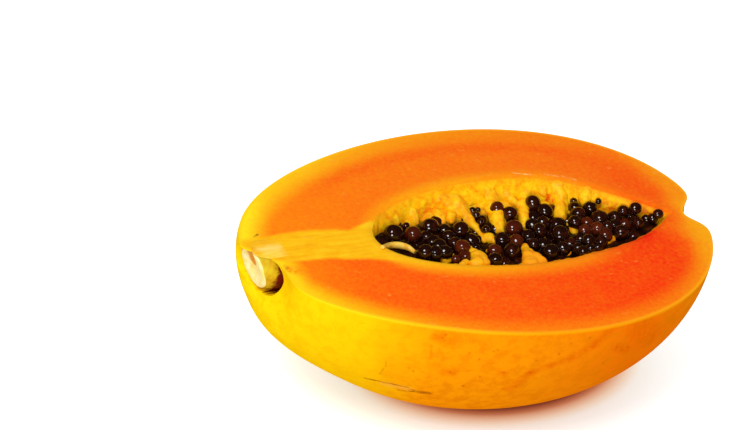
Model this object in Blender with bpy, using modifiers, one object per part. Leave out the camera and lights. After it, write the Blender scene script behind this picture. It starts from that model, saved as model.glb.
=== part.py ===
"""Half a ripe papaya, cut along its length and lying on its skin with the cut face up.

Flesh and rind are one solid with a hollow along its middle. The stump of the fruit's stalk sits in a dent of
one end, the flower left a dimple in the other end, and a heap of seeds fills most of the hollow.

Metres, +Z up. +X runs from the stalk to the flower end and -Y is the front. The origin is the middle of the
small flat spot that the fruit rests on. Places along the fruit are given from its stalk end, heights from its
cut face.
"""

import math
import random

import bmesh
import bpy
from mathutils import Matrix, Vector

MM = 0.001
GAP = 0.3 * MM  # left between pieces that touch
TINY = 1e-6
NEARLY_POLE = 1 - 1e-9

# The fruit's outline on the cut face: half widths at mid length, and how much fuller the flower end is
LENGTH = 180 * MM
FRONT_WIDTH = 59.4 * MM
FRONT_TAPER = 10.7 * MM
BACK_WIDTH = 55.0 * MM
BACK_TAPER = 5.8 * MM

# The depth under the cut face, in half widths at mid length, and how much less it is towards the flower end
DEPTH_RATIO = 1.154
DEPTH_FALL = 0.196
RIDGES = 5
RIDGE_HEIGHT = 0.35 * MM
RIDGE_START = math.radians(75)

# The flat spot is where the fruit's weight presses, a little past mid length
REST_AT = 0.51 * LENGTH
REST_ACROSS = (BACK_WIDTH - FRONT_WIDTH) / 2
FLAT_SPOT_DEPTH = 0.5 * MM

# The dimple that the flower left, and the dent beside the stalk, on its front side
DIMPLE_DEPTH = 8.0 * MM
DIMPLE_SPREAD = 4.8 * MM
DIMPLE_PLACE = (-6.0 * MM, -1.5 * MM)  # Y, and the height from the cut face
DENT_DEPTH = 10.0 * MM
DENT_SPREAD = 9.0 * MM
DENT_PLACE = (-8.5 * MM, -6.0 * MM)
DENT_FULL_TO = 0.0 * MM
DENT_NONE_FROM = 6.5 * MM

# The stalk end is blunt: its shoulder bulges under the cut face, and the belly behind it is a little flatter
SHOULDER = 2.7 * MM
SHOULDER_DOWN = -34.0 * MM
SHOULDER_SPREAD = 9.5 * MM
SHOULDER_END = 0.3  # share of the length
FLATTER = 0.018
FLATTER_AT = 0.17
FLATTER_SPREAD = 0.07

# The stump of the stalk: a short thick round piece that points out and a little down
STUMP_RADIUS = 8.8 * MM
STUMP_LENGTH = 12.0 * MM
STUMP_END = Vector((4.2, 0.4, -7.5)) * MM
STUMP_OUTWARDS = Vector((-0.94, -0.065, -0.336)).normalized()
STUMP_FLARE = 1.04  # how much wider it is inside the fruit than at its cut end
STUMP_HOLLOW = 0.9 * MM  # the cut end has shrunk in the middle
STUMP_HOLLOW_STEP = 0.3  # of the radius, for each of the two steps down into it
STUMP_SIDES = 28
ABOVE = 40 * MM  # room for what the knife took off with the other half

# The hollow: blunt at the stalk end and pointed at the flower end
HOLLOW_START = 49.5 * MM
HOLLOW_END = 166 * MM
HOLLOW_HALF_WIDTH = 24.0 * MM
HOLLOW_DEPTH = 36 * MM
HOLLOW_MIDDLE = 1.0 * MM  # how far behind the fruit's axis it lies at mid length
HOLLOW_TIP_SHIFT = -5.0 * MM  # and how much nearer to the front its point is
HOLLOW_SHIFT_FROM = 0.6  # share of the way along, from which the point starts to lean
HOLLOW_POINT = 1.75
HOLLOW_LIP = 6.0 * MM  # how far the wall slopes outwards, in the softer flesh under the cut face
HOLLOW_LIP_DEPTH = 10.0 * MM
HOLLOW_ABOVE = 12 * MM  # how far the cutter reaches above the cut face

# The seeds lie on a bed that is lowest along the middle
BED_DEPTH = 9.0 * MM
BED_DEPTH_AT_ENDS = 4.5 * MM
BED_RISE_AT_SIDES = 5.0 * MM
BED_PAST_ENDS = 5 * MM
BED_PAST_SIDES = 6 * MM
BED_STEPS = (22, 12)  # along and across
SEED_RADIUS = 2.95 * MM
SEED_STRETCH = 1.12
SEED_SIZES = (0.88, 1.08)  # of the radius
SEED_TIP = 0.5  # radians up or down
SEED_SIDES, SEED_RINGS = 5, 4
SEED_SPACING = 5.9 * MM
SEED_ROW = 5.2 * MM
SEED_SHIFT = 0.9 * MM
SEED_LIFT = 1.2 * MM
SEED_SUNK = 0.45  # share of the radius, so that each seed is joined to the bed
SEED_SEED = 11
# To the hollow's wall, whose flat facets reach a little further in than its true curve
HEAP_GAP = 0.7 * MM

SKIN_STEPS = (56, 64)  # along the fruit and round it
HOLLOW_STEPS = (40, 40)
HEAP_STEPS = (30, 28)
SHARP = math.radians(25)  # the angle from which an edge shows
SKIN = (0.93, 0.50, 0.02)
SEED = (0.02, 0.012, 0.01)
STALK = (0.80, 0.62, 0.20)


def clear_scene():
    for old in list(bpy.data.objects):
        bpy.data.objects.remove(old)


def material(name, colour, roughness):
    made = bpy.data.materials.new(name)
    made.use_nodes = True
    shader = made.node_tree.nodes["Principled BSDF"]
    shader.inputs["Base Color"].default_value = (*colour, 1.0)
    shader.inputs["Roughness"].default_value = roughness
    shader.inputs["Metallic"].default_value = 0.0
    return made


def new_collection(name):
    made = bpy.data.collections.new(name)
    bpy.context.scene.collection.children.link(made)
    return made


def smooth_step(low, high, x):
    t = min(max((x - low) / (high - low), 0.0), 1.0)
    return t * t * (3 - 2 * t)


def bell(distance, spread):
    return math.exp(-0.5 * (distance / spread) ** 2)


def half_depth():
    """The height of the cut face over the flat spot."""
    along = REST_AT / LENGTH
    phi = math.acos(1 - 2 * along)
    return section(phi)[2] - FLAT_SPOT_DEPTH


def section(phi):
    """(place along, middle between front and back, depth, half width) at angle phi of the outline."""
    along = (1 - math.cos(phi)) / 2
    front = math.sin(phi) * (FRONT_WIDTH - FRONT_TAPER * math.cos(phi))
    back = math.sin(phi) * (BACK_WIDTH - BACK_TAPER * math.cos(phi))
    half_width = (front + back) / 2
    depth = half_width * (DEPTH_RATIO - DEPTH_FALL * (along - 0.5))
    depth *= 1 - FLATTER * bell(along - FLATTER_AT, FLATTER_SPREAD)
    return along * LENGTH, (back - front) / 2, depth, half_width


def skin_point(phi, turn):
    """A point of the skin: turn runs from 0 at the front rim, under the fruit, to 1 at the back."""
    x, middle, depth, half_width = section(phi)
    # A round section whose centre lies under the cut face, so that the sides bulge out a little below the rim
    centre = (depth**2 - half_width**2) / (2 * depth)
    radius = depth - centre
    rim = math.asin(centre / radius)
    angle = -rim + (math.pi + 2 * rim) * turn
    ridge = RIDGE_HEIGHT * math.sin(phi) * math.sin(math.pi * turn) ** 2
    radius += ridge * math.cos(RIDGES * (angle - RIDGE_START))
    y = middle - radius * math.cos(angle)
    z = -centre - radius * math.sin(angle)
    z = max(z, -half_depth())
    beside_dimple = math.hypot(y - DIMPLE_PLACE[0], z - DIMPLE_PLACE[1])
    beside_dent = math.hypot(y - DENT_PLACE[0], z - DENT_PLACE[1])
    if x > REST_AT:
        x -= DIMPLE_DEPTH * bell(beside_dimple, DIMPLE_SPREAD)
    else:
        front_side = 1 - smooth_step(DENT_FULL_TO, DENT_NONE_FROM, y)
        before_belly = max(1 - x / (SHOULDER_END * LENGTH), 0.0) ** 2
        x += DENT_DEPTH * bell(beside_dent, DENT_SPREAD) * front_side
        x -= SHOULDER * bell(z - SHOULDER_DOWN, SHOULDER_SPREAD) * before_belly
    return x, y, z


def to_world(x, y, z):
    """From the stalk end, the fruit's axis and the cut face to the flat spot's middle."""
    return Vector((x - REST_AT, y - REST_ACROSS, z + half_depth()))


def lying_ball(name, steps, collection):
    """A sphere primitive whose poles lie along X, with (phi, turn) of each vertex: turn is 0 at the front and
    grows downwards, so the lower half has turns from 0 to 1."""
    mesh = bpy.data.meshes.new(name)
    bm = bmesh.new()
    lie = Matrix.Rotation(math.radians(90), 4, "Y")
    bmesh.ops.create_uvsphere(bm, u_segments=steps[1], v_segments=steps[0], radius=1.0, matrix=lie)
    bm.to_mesh(mesh)
    bm.free()
    ball = bpy.data.objects.new(name, mesh)
    collection.objects.link(ball)
    places = []
    for vertex in mesh.vertices:
        phi = math.acos(max(-NEARLY_POLE, min(NEARLY_POLE, -vertex.co.x)))
        down = -vertex.co.z if abs(vertex.co.z) > TINY else 0.0
        turn = math.atan2(down, -vertex.co.y) / math.pi
        places.append((phi, turn))
    return ball, places


def cut(piece, cutter):
    boolean = piece.modifiers.new("without " + cutter.name, "BOOLEAN")
    boolean.operation = "DIFFERENCE"
    boolean.object = cutter
    boolean.solver = "EXACT"
    cutter.hide_render = True
    cutter.display_type = "WIRE"


def smooth(piece):
    piece.data.shade_smooth()
    piece.data.set_sharp_from_angle(angle=SHARP)


def half_skin(name, collection):
    """The sphere's lower half, shaped as the skin and closed with the flat cut face."""
    body, places = lying_ball(name, SKIN_STEPS, collection)
    for vertex, (phi, turn) in zip(body.data.vertices, places):
        if turn >= 0:
            vertex.co = to_world(*skin_point(phi, turn))
    bm = bmesh.new()
    bm.from_mesh(body.data)
    above = [vertex for vertex, (_, turn) in zip(bm.verts, places) if turn < 0]
    bmesh.ops.delete(bm, geom=above, context="VERTS")
    rim = [edge for edge in bm.edges if edge.is_boundary]
    bmesh.ops.contextual_create(bm, geom=rim)
    bmesh.ops.recalc_face_normals(bm, faces=bm.faces)
    bm.to_mesh(body.data)
    bm.free()
    return body


def hollow_outline(phi):
    """(place along the fruit, middle, half width) of the hollow's opening at angle phi of its outline."""
    along = (1 - math.cos(phi)) / 2
    # The two powers meet smoothly at mid length, where the sine is 1
    power = 1.0 if along < 0.5 else HOLLOW_POINT
    half_width = HOLLOW_HALF_WIDTH * math.sin(phi) ** power
    x = HOLLOW_START + along * (HOLLOW_END - HOLLOW_START)
    middle = HOLLOW_MIDDLE * math.sin(phi) + HOLLOW_TIP_SHIFT * smooth_step(HOLLOW_SHIFT_FROM, 1.0, along)
    return x, middle, half_width


def hollow_width_at(half_width, under):
    """The hollow's half width at a depth: half an ellipse with a sloping lip above it."""
    size = half_width / HOLLOW_HALF_WIDTH
    depth = HOLLOW_DEPTH * size
    if under >= depth:
        return 0.0
    inner = (half_width - HOLLOW_LIP * size) * math.sqrt(1 - (under / depth) ** 2)
    return inner + HOLLOW_LIP * size * max(1 - under / (HOLLOW_LIP_DEPTH * size), 0.0) ** 2


def hollow_point(phi, turn, shrink):
    """A point of the hollow's wall, or above the cut face straight up from the opening's edge."""
    x, middle, half_width = hollow_outline(phi)
    half_width = max(half_width - shrink, TINY)
    depth = HOLLOW_DEPTH * half_width / HOLLOW_HALF_WIDTH
    middle_x = (HOLLOW_START + HOLLOW_END) / 2
    x += shrink * math.copysign(1.0, middle_x - x) * abs(math.cos(phi))
    if turn < 0:
        return x, middle - half_width * math.cos(math.pi * turn), HOLLOW_ABOVE
    under = depth * math.sin(math.pi * turn)
    width = hollow_width_at(half_width, under)
    y = middle - math.copysign(width, math.cos(math.pi * turn))
    return x, y, -under + (shrink if under > shrink else 0.0)


def hollow_form(name, steps, shrink, collection):
    form, places = lying_ball(name, steps, collection)
    for vertex, (phi, turn) in zip(form.data.vertices, places):
        vertex.co = to_world(*hollow_point(phi, turn, shrink))
    return form


def stump_form(name, radius, length, hollow, collection):
    """A thick round stalk end, a little wider where it meets the fruit, its cut end dished."""
    mesh = bpy.data.meshes.new(name)
    bm = bmesh.new()
    wide = radius * STUMP_FLARE
    bmesh.ops.create_cone(bm, cap_ends=True, segments=STUMP_SIDES, radius1=wide, radius2=radius, depth=length)
    if hollow:
        end = [max(bm.faces, key=lambda face: face.calc_center_median().z)]
        bmesh.ops.inset_region(bm, faces=end, thickness=radius * STUMP_HOLLOW_STEP, depth=0.0)
        bmesh.ops.inset_region(bm, faces=end, thickness=radius * STUMP_HOLLOW_STEP, depth=-hollow)
    bmesh.ops.recalc_face_normals(bm, faces=bm.faces)
    bm.to_mesh(mesh)
    bm.free()
    stump = bpy.data.objects.new(name, mesh)
    collection.objects.link(stump)
    turn = Vector((0, 0, 1)).rotation_difference(STUMP_OUTWARDS).to_matrix().to_4x4()
    inwards = Matrix.Translation((0, 0, -length / 2))
    stump.matrix_world = Matrix.Translation(to_world(*STUMP_END)) @ turn @ inwards
    return stump


def box(name, low, high, collection):
    mesh = bpy.data.meshes.new(name)
    bm = bmesh.new()
    place = Matrix.Translation((low + high) / 2) @ Matrix.Diagonal((*(high - low), 1.0))
    bmesh.ops.create_cube(bm, size=1.0, matrix=place)
    bm.to_mesh(mesh)
    bm.free()
    made = bpy.data.objects.new(name, mesh)
    collection.objects.link(made)
    return made


def bed_height(x, y):
    """The height of the seeds' bed, from the cut face, at a place along the fruit."""
    middle_x = (HOLLOW_START + HOLLOW_END) / 2
    to_end = min(abs(x - middle_x) / (middle_x - HOLLOW_START), 1.0)
    to_side = min(abs(y - HOLLOW_MIDDLE) / HOLLOW_HALF_WIDTH, 1.0)
    depth = BED_DEPTH + (BED_DEPTH_AT_ENDS - BED_DEPTH) * to_end**2
    return -depth + BED_RISE_AT_SIDES * to_side**2


def bed_cutter(name, collection):
    """All that lies above the seeds' bed, with the bed as its underside."""
    mesh = bpy.data.meshes.new(name)
    bm = bmesh.new()
    bmesh.ops.create_grid(bm, x_segments=BED_STEPS[0], y_segments=BED_STEPS[1], size=1.0)
    half_length = (HOLLOW_END - HOLLOW_START) / 2 + BED_PAST_ENDS
    half_width = HOLLOW_HALF_WIDTH + BED_PAST_SIDES
    for vertex in bm.verts:
        x = HOLLOW_START - BED_PAST_ENDS + half_length * (1 + vertex.co.x)
        y = HOLLOW_MIDDLE + half_width * vertex.co.y
        vertex.co = to_world(x, y, bed_height(x, y))
    bm.to_mesh(mesh)
    bm.free()
    cutter = bpy.data.objects.new(name, mesh)
    collection.objects.link(cutter)
    thick = cutter.modifiers.new("all that is above", "SOLIDIFY")
    thick.thickness = ABOVE
    thick.offset = 1.0
    return cutter


def clear_of_wall(x, y, z, distance):
    """Whether a point is at least this far inside the hollow's wall, tested along and across it."""
    for ahead in (-distance, 0.0, distance):
        share = (x + ahead - HOLLOW_START) / (HOLLOW_END - HOLLOW_START)
        if not 0 < share < 1:
            return False
        _, middle, half_width = hollow_outline(math.acos(1 - 2 * share))
        room = hollow_width_at(half_width, max(-z, 0.0)) - abs(y - middle)
        if room < (distance if ahead == 0.0 else 0.0):
            return False
    return True


def seed_places():
    """Where the seeds lie: staggered rows over the bed, each shifted by a seeded draw, clear of the wall."""
    draw = random.Random(SEED_SEED)
    found = []
    rows = round(2 * HOLLOW_HALF_WIDTH / SEED_ROW)
    columns = round((HOLLOW_END - HOLLOW_START) / SEED_SPACING)
    for row in range(rows + 1):
        for column in range(columns + 1):
            shift = 0.5 * (row % 2)
            x = HOLLOW_START + (column + shift) * SEED_SPACING + draw.uniform(-1, 1) * SEED_SHIFT
            y = HOLLOW_MIDDLE - HOLLOW_HALF_WIDTH + row * SEED_ROW + draw.uniform(-1, 1) * SEED_SHIFT
            radius = SEED_RADIUS * draw.uniform(*SEED_SIZES)
            z = bed_height(x, y) + radius * (1 - 2 * SEED_SUNK) + draw.uniform(0, 1) * SEED_LIFT
            turn, tip = draw.uniform(0, math.pi), draw.uniform(-1, 1) * SEED_TIP
            if clear_of_wall(x, y, z, radius + HEAP_GAP) and z + radius * SEED_STRETCH < -GAP:
                found.append(((x, y, z), radius, turn, tip))
    return found


def seed(name, place, radius, turn, tip, collection):
    """One seed, a slightly long ball of few sides."""
    mesh = bpy.data.meshes.new(name)
    bm = bmesh.new()
    long_shape = Matrix.Diagonal((radius * SEED_STRETCH, radius, radius, 1.0))
    lie = Matrix.Rotation(turn, 4, "Z") @ Matrix.Rotation(tip, 4, "Y") @ long_shape
    bmesh.ops.create_uvsphere(bm, u_segments=SEED_SIDES, v_segments=SEED_RINGS, radius=1.0, matrix=lie)
    bm.to_mesh(mesh)
    bm.free()
    made = bpy.data.objects.new(name, mesh)
    made.location = to_world(*place)
    collection.objects.link(made)
    return made


def seed_heap(part, cutters):
    """A core that fills the hollow up to the bed, with the seeds that show joined to it."""
    heap = hollow_form("seed_heap", HEAP_STEPS, HEAP_GAP, part)
    cut(heap, bed_cutter("above the seeds", cutters))
    loose = new_collection("loose seeds")
    seeds = [
        seed(f"seed {number}", place, radius, turn, tip, loose)
        for number, (place, radius, turn, tip) in enumerate(seed_places())
    ]
    join = heap.modifiers.new("seeds", "BOOLEAN")
    join.operation = "UNION"
    join.operand_type = "COLLECTION"
    join.collection = loose
    join.solver = "EXACT"
    bpy.context.view_layer.update()
    whole = bpy.data.meshes.new_from_object(heap.evaluated_get(bpy.context.evaluated_depsgraph_get()))
    heap.modifiers.clear()
    heap.data = whole
    for thing in seeds:
        bpy.data.objects.remove(thing)
    bpy.data.collections.remove(loose)
    return heap


def build():
    clear_scene()
    part = new_collection("papaya half")
    cutters = new_collection("cutters")

    flesh = half_skin("papaya_half", part)
    cut(flesh, hollow_form("hollow", HOLLOW_STEPS, 0.0, cutters))
    cut(flesh, stump_form("stump socket", STUMP_RADIUS + GAP, STUMP_LENGTH + GAP, 0.0, cutters))
    flesh.data.materials.append(material("papaya flesh and skin", SKIN, 0.4))
    smooth(flesh)

    stump = stump_form("stalk_stump", STUMP_RADIUS, STUMP_LENGTH, STUMP_HOLLOW, part)
    low, high = to_world(-ABOVE, -ABOVE, 0), to_world(ABOVE, ABOVE, ABOVE)
    cut(stump, box("above the cut face", low, high, cutters))
    stump.data.materials.append(material("stalk", STALK, 0.6))
    smooth(stump)

    heap = seed_heap(part, cutters)
    heap.data.materials.append(material("seeds", SEED, 0.2))
    smooth(heap)


build()
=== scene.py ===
import math
import random

import bmesh
import bpy
import numpy as np
from mathutils import Matrix, Vector, kdtree, noise
from mathutils.bvhtree import BVHTree


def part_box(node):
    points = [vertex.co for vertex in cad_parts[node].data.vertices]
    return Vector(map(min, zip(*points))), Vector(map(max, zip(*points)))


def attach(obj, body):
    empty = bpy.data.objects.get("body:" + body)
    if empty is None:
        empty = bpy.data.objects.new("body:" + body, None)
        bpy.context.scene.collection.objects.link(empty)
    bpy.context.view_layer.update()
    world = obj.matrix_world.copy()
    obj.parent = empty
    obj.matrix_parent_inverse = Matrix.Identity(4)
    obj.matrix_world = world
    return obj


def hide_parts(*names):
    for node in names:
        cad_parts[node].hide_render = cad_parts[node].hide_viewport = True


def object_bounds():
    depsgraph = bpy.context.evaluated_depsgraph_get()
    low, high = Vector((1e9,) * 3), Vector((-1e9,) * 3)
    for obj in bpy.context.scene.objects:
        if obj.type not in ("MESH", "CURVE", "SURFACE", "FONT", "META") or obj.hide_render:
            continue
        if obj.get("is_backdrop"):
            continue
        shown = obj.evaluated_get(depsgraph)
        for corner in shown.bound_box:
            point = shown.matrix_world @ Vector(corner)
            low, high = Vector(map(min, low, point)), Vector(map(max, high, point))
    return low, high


# The solids
# The half fruit, its stalk stump and its seeds come in as plain solids, in metres, with the flat spot
# that the fruit rests on at the origin. Below, sizes are in millimetres: along the fruit from its stalk
# end, across it from its axis, and up from its cut face.
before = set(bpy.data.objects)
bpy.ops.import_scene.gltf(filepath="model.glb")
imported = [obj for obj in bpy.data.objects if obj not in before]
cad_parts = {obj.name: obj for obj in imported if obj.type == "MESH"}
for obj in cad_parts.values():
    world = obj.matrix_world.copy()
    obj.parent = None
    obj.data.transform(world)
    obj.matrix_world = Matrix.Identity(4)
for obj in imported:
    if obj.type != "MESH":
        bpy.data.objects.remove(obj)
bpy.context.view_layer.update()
MM = 0.001
CUT_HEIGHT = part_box("papaya_half")[1][2] / MM
LENGTH = 180.0
REST_AT = 0.51 * LENGTH
REST_ACROSS = -2.2

# The camera
# The picture was taken from above, in front of the stalk end, with a long lens that was held a little
# askew. The places of seeds and marks are read off that picture, in its pixels, and put back onto the
# fruit through it.
PICTURE_WIDTH, PICTURE_HEIGHT = 750, 430
CAMERA_TURN = math.radians(31.54)
CAMERA_DOWN = math.radians(35.91)
CAMERA_ROLL = math.radians(13.61)
CAMERA_PLACE = Vector((-414.8, -601.1, 588.0))
SENSOR_WIDTH = 36.0
LENS = 121.93
SEES_TO = 20.0

level_ahead = Vector((math.sin(CAMERA_TURN), math.cos(CAMERA_TURN), 0))
ahead = level_ahead * math.cos(CAMERA_DOWN) - Vector((0, 0, math.sin(CAMERA_DOWN)))
level_right = ahead.cross(Vector((0, 0, 1))).normalized()
level_up = level_right.cross(ahead)
right = math.cos(CAMERA_ROLL) * level_right + math.sin(CAMERA_ROLL) * level_up
up = math.cos(CAMERA_ROLL) * level_up - math.sin(CAMERA_ROLL) * level_right
camera = bpy.data.objects.new("camera", bpy.data.cameras.new("camera"))
camera.data.lens = LENS
camera.data.sensor_width = SENSOR_WIDTH
camera.data.clip_end = SEES_TO
turned = Matrix((right, up, -ahead)).transposed().to_4x4()
camera.matrix_world = Matrix.Translation(CAMERA_PLACE * MM) @ turned
bpy.context.scene.collection.objects.link(camera)
bpy.context.scene.camera = camera


def view_ray(x, y):
    """The direction from the camera through a pixel of the picture."""
    far = LENS / SENSOR_WIDTH * PICTURE_WIDTH
    return ahead * far + right * (x - PICTURE_WIDTH / 2) - up * (y - PICTURE_HEIGHT / 2)


def seen_at_height(x, y, height):
    """The place on the fruit (along, across, height) that a pixel shows at a height from the cut face."""
    ray = view_ray(x, y)
    point = CAMERA_PLACE + ray * ((CUT_HEIGHT + height - CAMERA_PLACE.z) / ray.z)
    return point.x + REST_AT, point.y + REST_ACROSS, height


def to_world(points):
    """From places on the fruit, in mm, to metres from the flat spot."""
    return (np.asarray(points, float) - (REST_AT, REST_ACROSS, -CUT_HEIGHT)) * MM


# The studio
# White paper under and behind the fruit, a large soft light over its left shoulder, and a weaker one from
# the front. The paper lights the skin from below. Besides the fruit's own shadow, a painted shadow colours
# it.
KEY_POWER, KEY_SIZE = 15.0, 0.7
KEY_PLACE = Vector((-0.9, -0.5, 1.6))
FRONT_POWER, FRONT_SIZE = 11.0, 0.6
FRONT_PLACE = Vector((-0.9, -1.4, 0.6))
SURROUND = 0.55
ROOM_IN_GLOSS = 0.02
PAPER_HALF = 8.0
PAPER_LIT, PAPER_GLOW = 0.72, 0.5
# A painted shadow on the paper: an ellipse round the flat spot, dark and skin-coloured close under the
# fruit, white beyond
SHADE_PLACE, SHADE_SIZE, SHADE_END = (20.0, 0.0), (54.0, 31.5), 1.6
SHADE_STOPS = (
    (0.75, (0.12, 0.02, 0.01)), (0.82, (0.26, 0.06, 0.025)), (0.89, (0.52, 0.18, 0.08)),
    (0.95, (0.7, 0.42, 0.26)), (1.0, (0.78, 0.58, 0.42)), (1.06, (0.82, 0.75, 0.62)),
    (1.12, (0.84, 0.87, 0.82)), (1.25, (0.86, 0.92, 0.9)), (SHADE_END, (1.0, 1.0, 1.0)),
)


def add(tree, kind, inputs=None, **settings):
    """A node with its settings, and each input set to a value or joined to another node's output."""
    made = tree.nodes.new("ShaderNode" + kind)
    for name, value in settings.items():
        setattr(made, name, value)
    for name, value in (inputs or {}).items():
        if isinstance(value, bpy.types.NodeSocket):
            tree.links.new(value, made.inputs[name])
        else:
            made.inputs[name].default_value = value
    return made


def linear_ramp(tree, value, stops):
    """A colour that runs through these stops: (place, linear colour)."""
    made = add(tree, "ValToRGB", {"Fac": value})
    low, high = made.color_ramp.elements
    low.position, low.color = stops[0]
    high.position, high.color = stops[-1]
    for place, linear in stops[1:-1]:
        made.color_ramp.elements.new(place).color = linear
    return made.outputs[0]


def soft_light(name, place, power, size):
    light = bpy.data.lights.new(name, "AREA")
    light.shape = "DISK"
    light.size = size
    light.energy = power
    lamp = bpy.data.objects.new(name, light)
    lamp.location = place
    lamp.rotation_euler = (-place).to_track_quat("-Z", "Y").to_euler()
    bpy.context.scene.collection.objects.link(lamp)


soft_light("key light", KEY_PLACE, KEY_POWER, KEY_SIZE)
soft_light("front light", FRONT_PLACE, FRONT_POWER, FRONT_SIZE)

world = bpy.data.worlds.new("white studio")
world.use_nodes = True
tree = world.node_tree
background = tree.nodes["Background"]
background.inputs["Color"].default_value = (1, 1, 1, 1)
# Wet surfaces mirror the dim room round the lights, and not the white that fills the picture
in_gloss = add(tree, "LightPath").outputs["Is Glossy Ray"]
strength = add(tree, "MapRange", {"Value": in_gloss, "To Min": SURROUND, "To Max": ROOM_IN_GLOSS})
tree.links.new(strength.outputs[0], background.inputs["Strength"])
bpy.context.scene.world = world
bpy.context.scene.view_settings.view_transform = "Standard"

paper_mesh = bpy.data.meshes.new("paper")
bm = bmesh.new()
bmesh.ops.create_grid(bm, x_segments=1, y_segments=1, size=PAPER_HALF)
bm.to_mesh(paper_mesh)
bm.free()
paper = bpy.data.objects.new("paper", paper_mesh)
bpy.context.scene.collection.objects.link(paper)
white = bpy.data.materials.new("white paper")
white.use_nodes = True
tree = white.node_tree
tree.nodes.clear()
# The picture shows the paper over-exposed, so to the camera it also glows. Close under the fruit a painted
# shadow darkens it, in the colour of the skin, in a narrow dark line.
from_middle = add(tree, "Mapping", {
    "Vector": add(tree, "TexCoord").outputs["Object"],
    "Location": (SHADE_PLACE[0] * MM, SHADE_PLACE[1] * MM, 0),
    "Scale": (SHADE_SIZE[0] * MM, SHADE_SIZE[1] * MM, 1),
}, vector_type="TEXTURE").outputs[0]
far_out = add(tree, "VectorMath", {0: from_middle}, operation="LENGTH").outputs["Value"]
ramp_share = add(tree, "Math", {0: far_out, 1: SHADE_END}, operation="DIVIDE").outputs[0]
shade = linear_ramp(tree, ramp_share, [(stop / SHADE_END, (*linear, 1)) for stop, linear in SHADE_STOPS])
glow = add(tree, "Emission", {"Color": shade, "Strength": PAPER_GLOW}).outputs[0]
lit = add(tree, "BsdfDiffuse", {"Color": shade}).outputs[0]
# The light that the paper throws back onto the fruit is darkened by the same painted shadow
dimmer = add(tree, "VectorMath", {0: shade, "Scale": PAPER_LIT}, operation="SCALE").outputs[0]
thrown_back = add(tree, "BsdfDiffuse", {"Color": dimmer}).outputs[0]
by_ray = add(tree, "MixShader", {
    "Fac": add(tree, "LightPath").outputs["Is Camera Ray"],
    1: thrown_back,
    2: add(tree, "AddShader", {0: glow, 1: lit}).outputs[0],
}).outputs[0]
add(tree, "OutputMaterial", {"Surface": by_ray})
paper_mesh.materials.append(white)
paper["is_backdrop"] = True

# Flesh and rind
# Ripe flesh, deep orange in the middle of each side and yellower by the rind and round the hollow, in a
# thin smooth rind. One closed surface makes it all: the skin, the knife's flat cut, and the hollow's
# rough wall.
FRONT_WIDTH, FRONT_TAPER = 59.4, 10.7
BACK_WIDTH, BACK_TAPER = 55.0, 5.8
DEPTH_RATIO, DEPTH_FALL = 1.154, 0.196
RIDGES, RIDGE_HEIGHT, RIDGE_START = 5, 0.35, math.radians(75)
DIMPLE_DEPTH, DIMPLE_SPREAD, DIMPLE_PLACE = 8.0, 4.8, (-6.0, -1.5)
DENT_DEPTH, DENT_SPREAD, DENT_PLACE = 10.0, 9.0, (-8.5, -6.0)
DENT_FULL_TO, DENT_NONE_FROM = 3.0, 10.0
DENT_BACK_AT_CUT, DENT_BACK_DEPTH = 6.0, 8.0
SHOULDER, SHOULDER_DOWN, SHOULDER_SPREAD, SHOULDER_END = 2.7, -34.0, 9.5, 0.3
FLATTER, FLATTER_AT, FLATTER_SPREAD = 0.018, 0.17, 0.07
STUMP_END = np.array((4.56, 0.06, -7.5))
STUMP_OUTWARDS = np.array((-0.959, -0.153, -0.24))
STUMP_DROOP = 0.24
SOCKET_TIGHT, SOCKET_WIDE, SOCKET_EDGE = 8.5, 10.5, 0.6
SOCKET_FRONT, SOCKET_BACK = 12.0, 4.0
SOCKET_TOP, SOCKET_TURN = (0.6, 3.0), (0.3, 0.7)
GAP_WITHIN, GAP_DEEP = (0.0, 0.06), (0.05, 0.35)
HOLLOW_START, HOLLOW_END = 49.5, 166.0
HOLLOW_HALF_WIDTH, HOLLOW_DEPTH = 24.0, 36.0
HOLLOW_MIDDLE, HOLLOW_TIP_SHIFT, HOLLOW_SHIFT_FROM, HOLLOW_POINT = 1.0, -5.0, 0.6, 1.75
HOLLOW_LIP, HOLLOW_LIP_DEPTH = 6.0, 10.0
SKIN_ROWS, SKIN_COLUMNS, CUT_ROWS, WALL_ROWS = 340, 130, 30, 44
ROWS_TO_ENDS, CUT_ROWS_TO_EDGE, WALL_ROWS_TO_LIP = 0.6, 0.85, 2.1
LIP_ROUND, LIP_DROP = 2.2, 0.7
PULP_KNOB, PULP_TALLER, PULP_RELIEF, PULP_FROM_LIP = 4.2, (1, 1, 0.6), 1.0, 2.0
PULP_GRAIN, PULP_GRAIN_RELIEF = 1.6, 0.14
CUT_WAVE, CUT_RELIEF, CUT_RELIEF_FROM_RIM = 5.0, 0.05, 3.0
NOT_NEAR = 99.0
SAME_POINT = 1e-6
FLESH_SHARP = math.radians(50)


def smooth_step(low, high, x):
    t = np.clip((x - low) / (high - low), 0, 1)
    return t * t * (3 - 2 * t)


def bell(distance, spread):
    return np.exp(-0.5 * (distance / spread) ** 2)


def socket(x, y, z):
    """How far in a place is, how far in the gap round the stump goes there, and the gap's mask."""
    from_end = np.stack([x, y, z], -1) - STUMP_END
    inwards = -from_end @ STUMP_OUTWARDS
    beside = from_end + inwards[..., None] * (STUMP_OUTWARDS + (0, 0, STUMP_DROOP))
    radius = np.linalg.norm(beside, axis=-1)
    to_front = smooth_step(*SOCKET_TURN, -beside[..., 1] / np.maximum(radius, 1e-6))
    reach = SOCKET_TIGHT + (SOCKET_WIDE - SOCKET_TIGHT) * to_front
    floor = SOCKET_BACK + (SOCKET_FRONT - SOCKET_BACK) * to_front
    within = (1 - smooth_step(reach, reach + SOCKET_EDGE, radius)) * smooth_step(*SOCKET_TOP, -z)
    return inwards, floor, within * (x < REST_AT)


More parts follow.
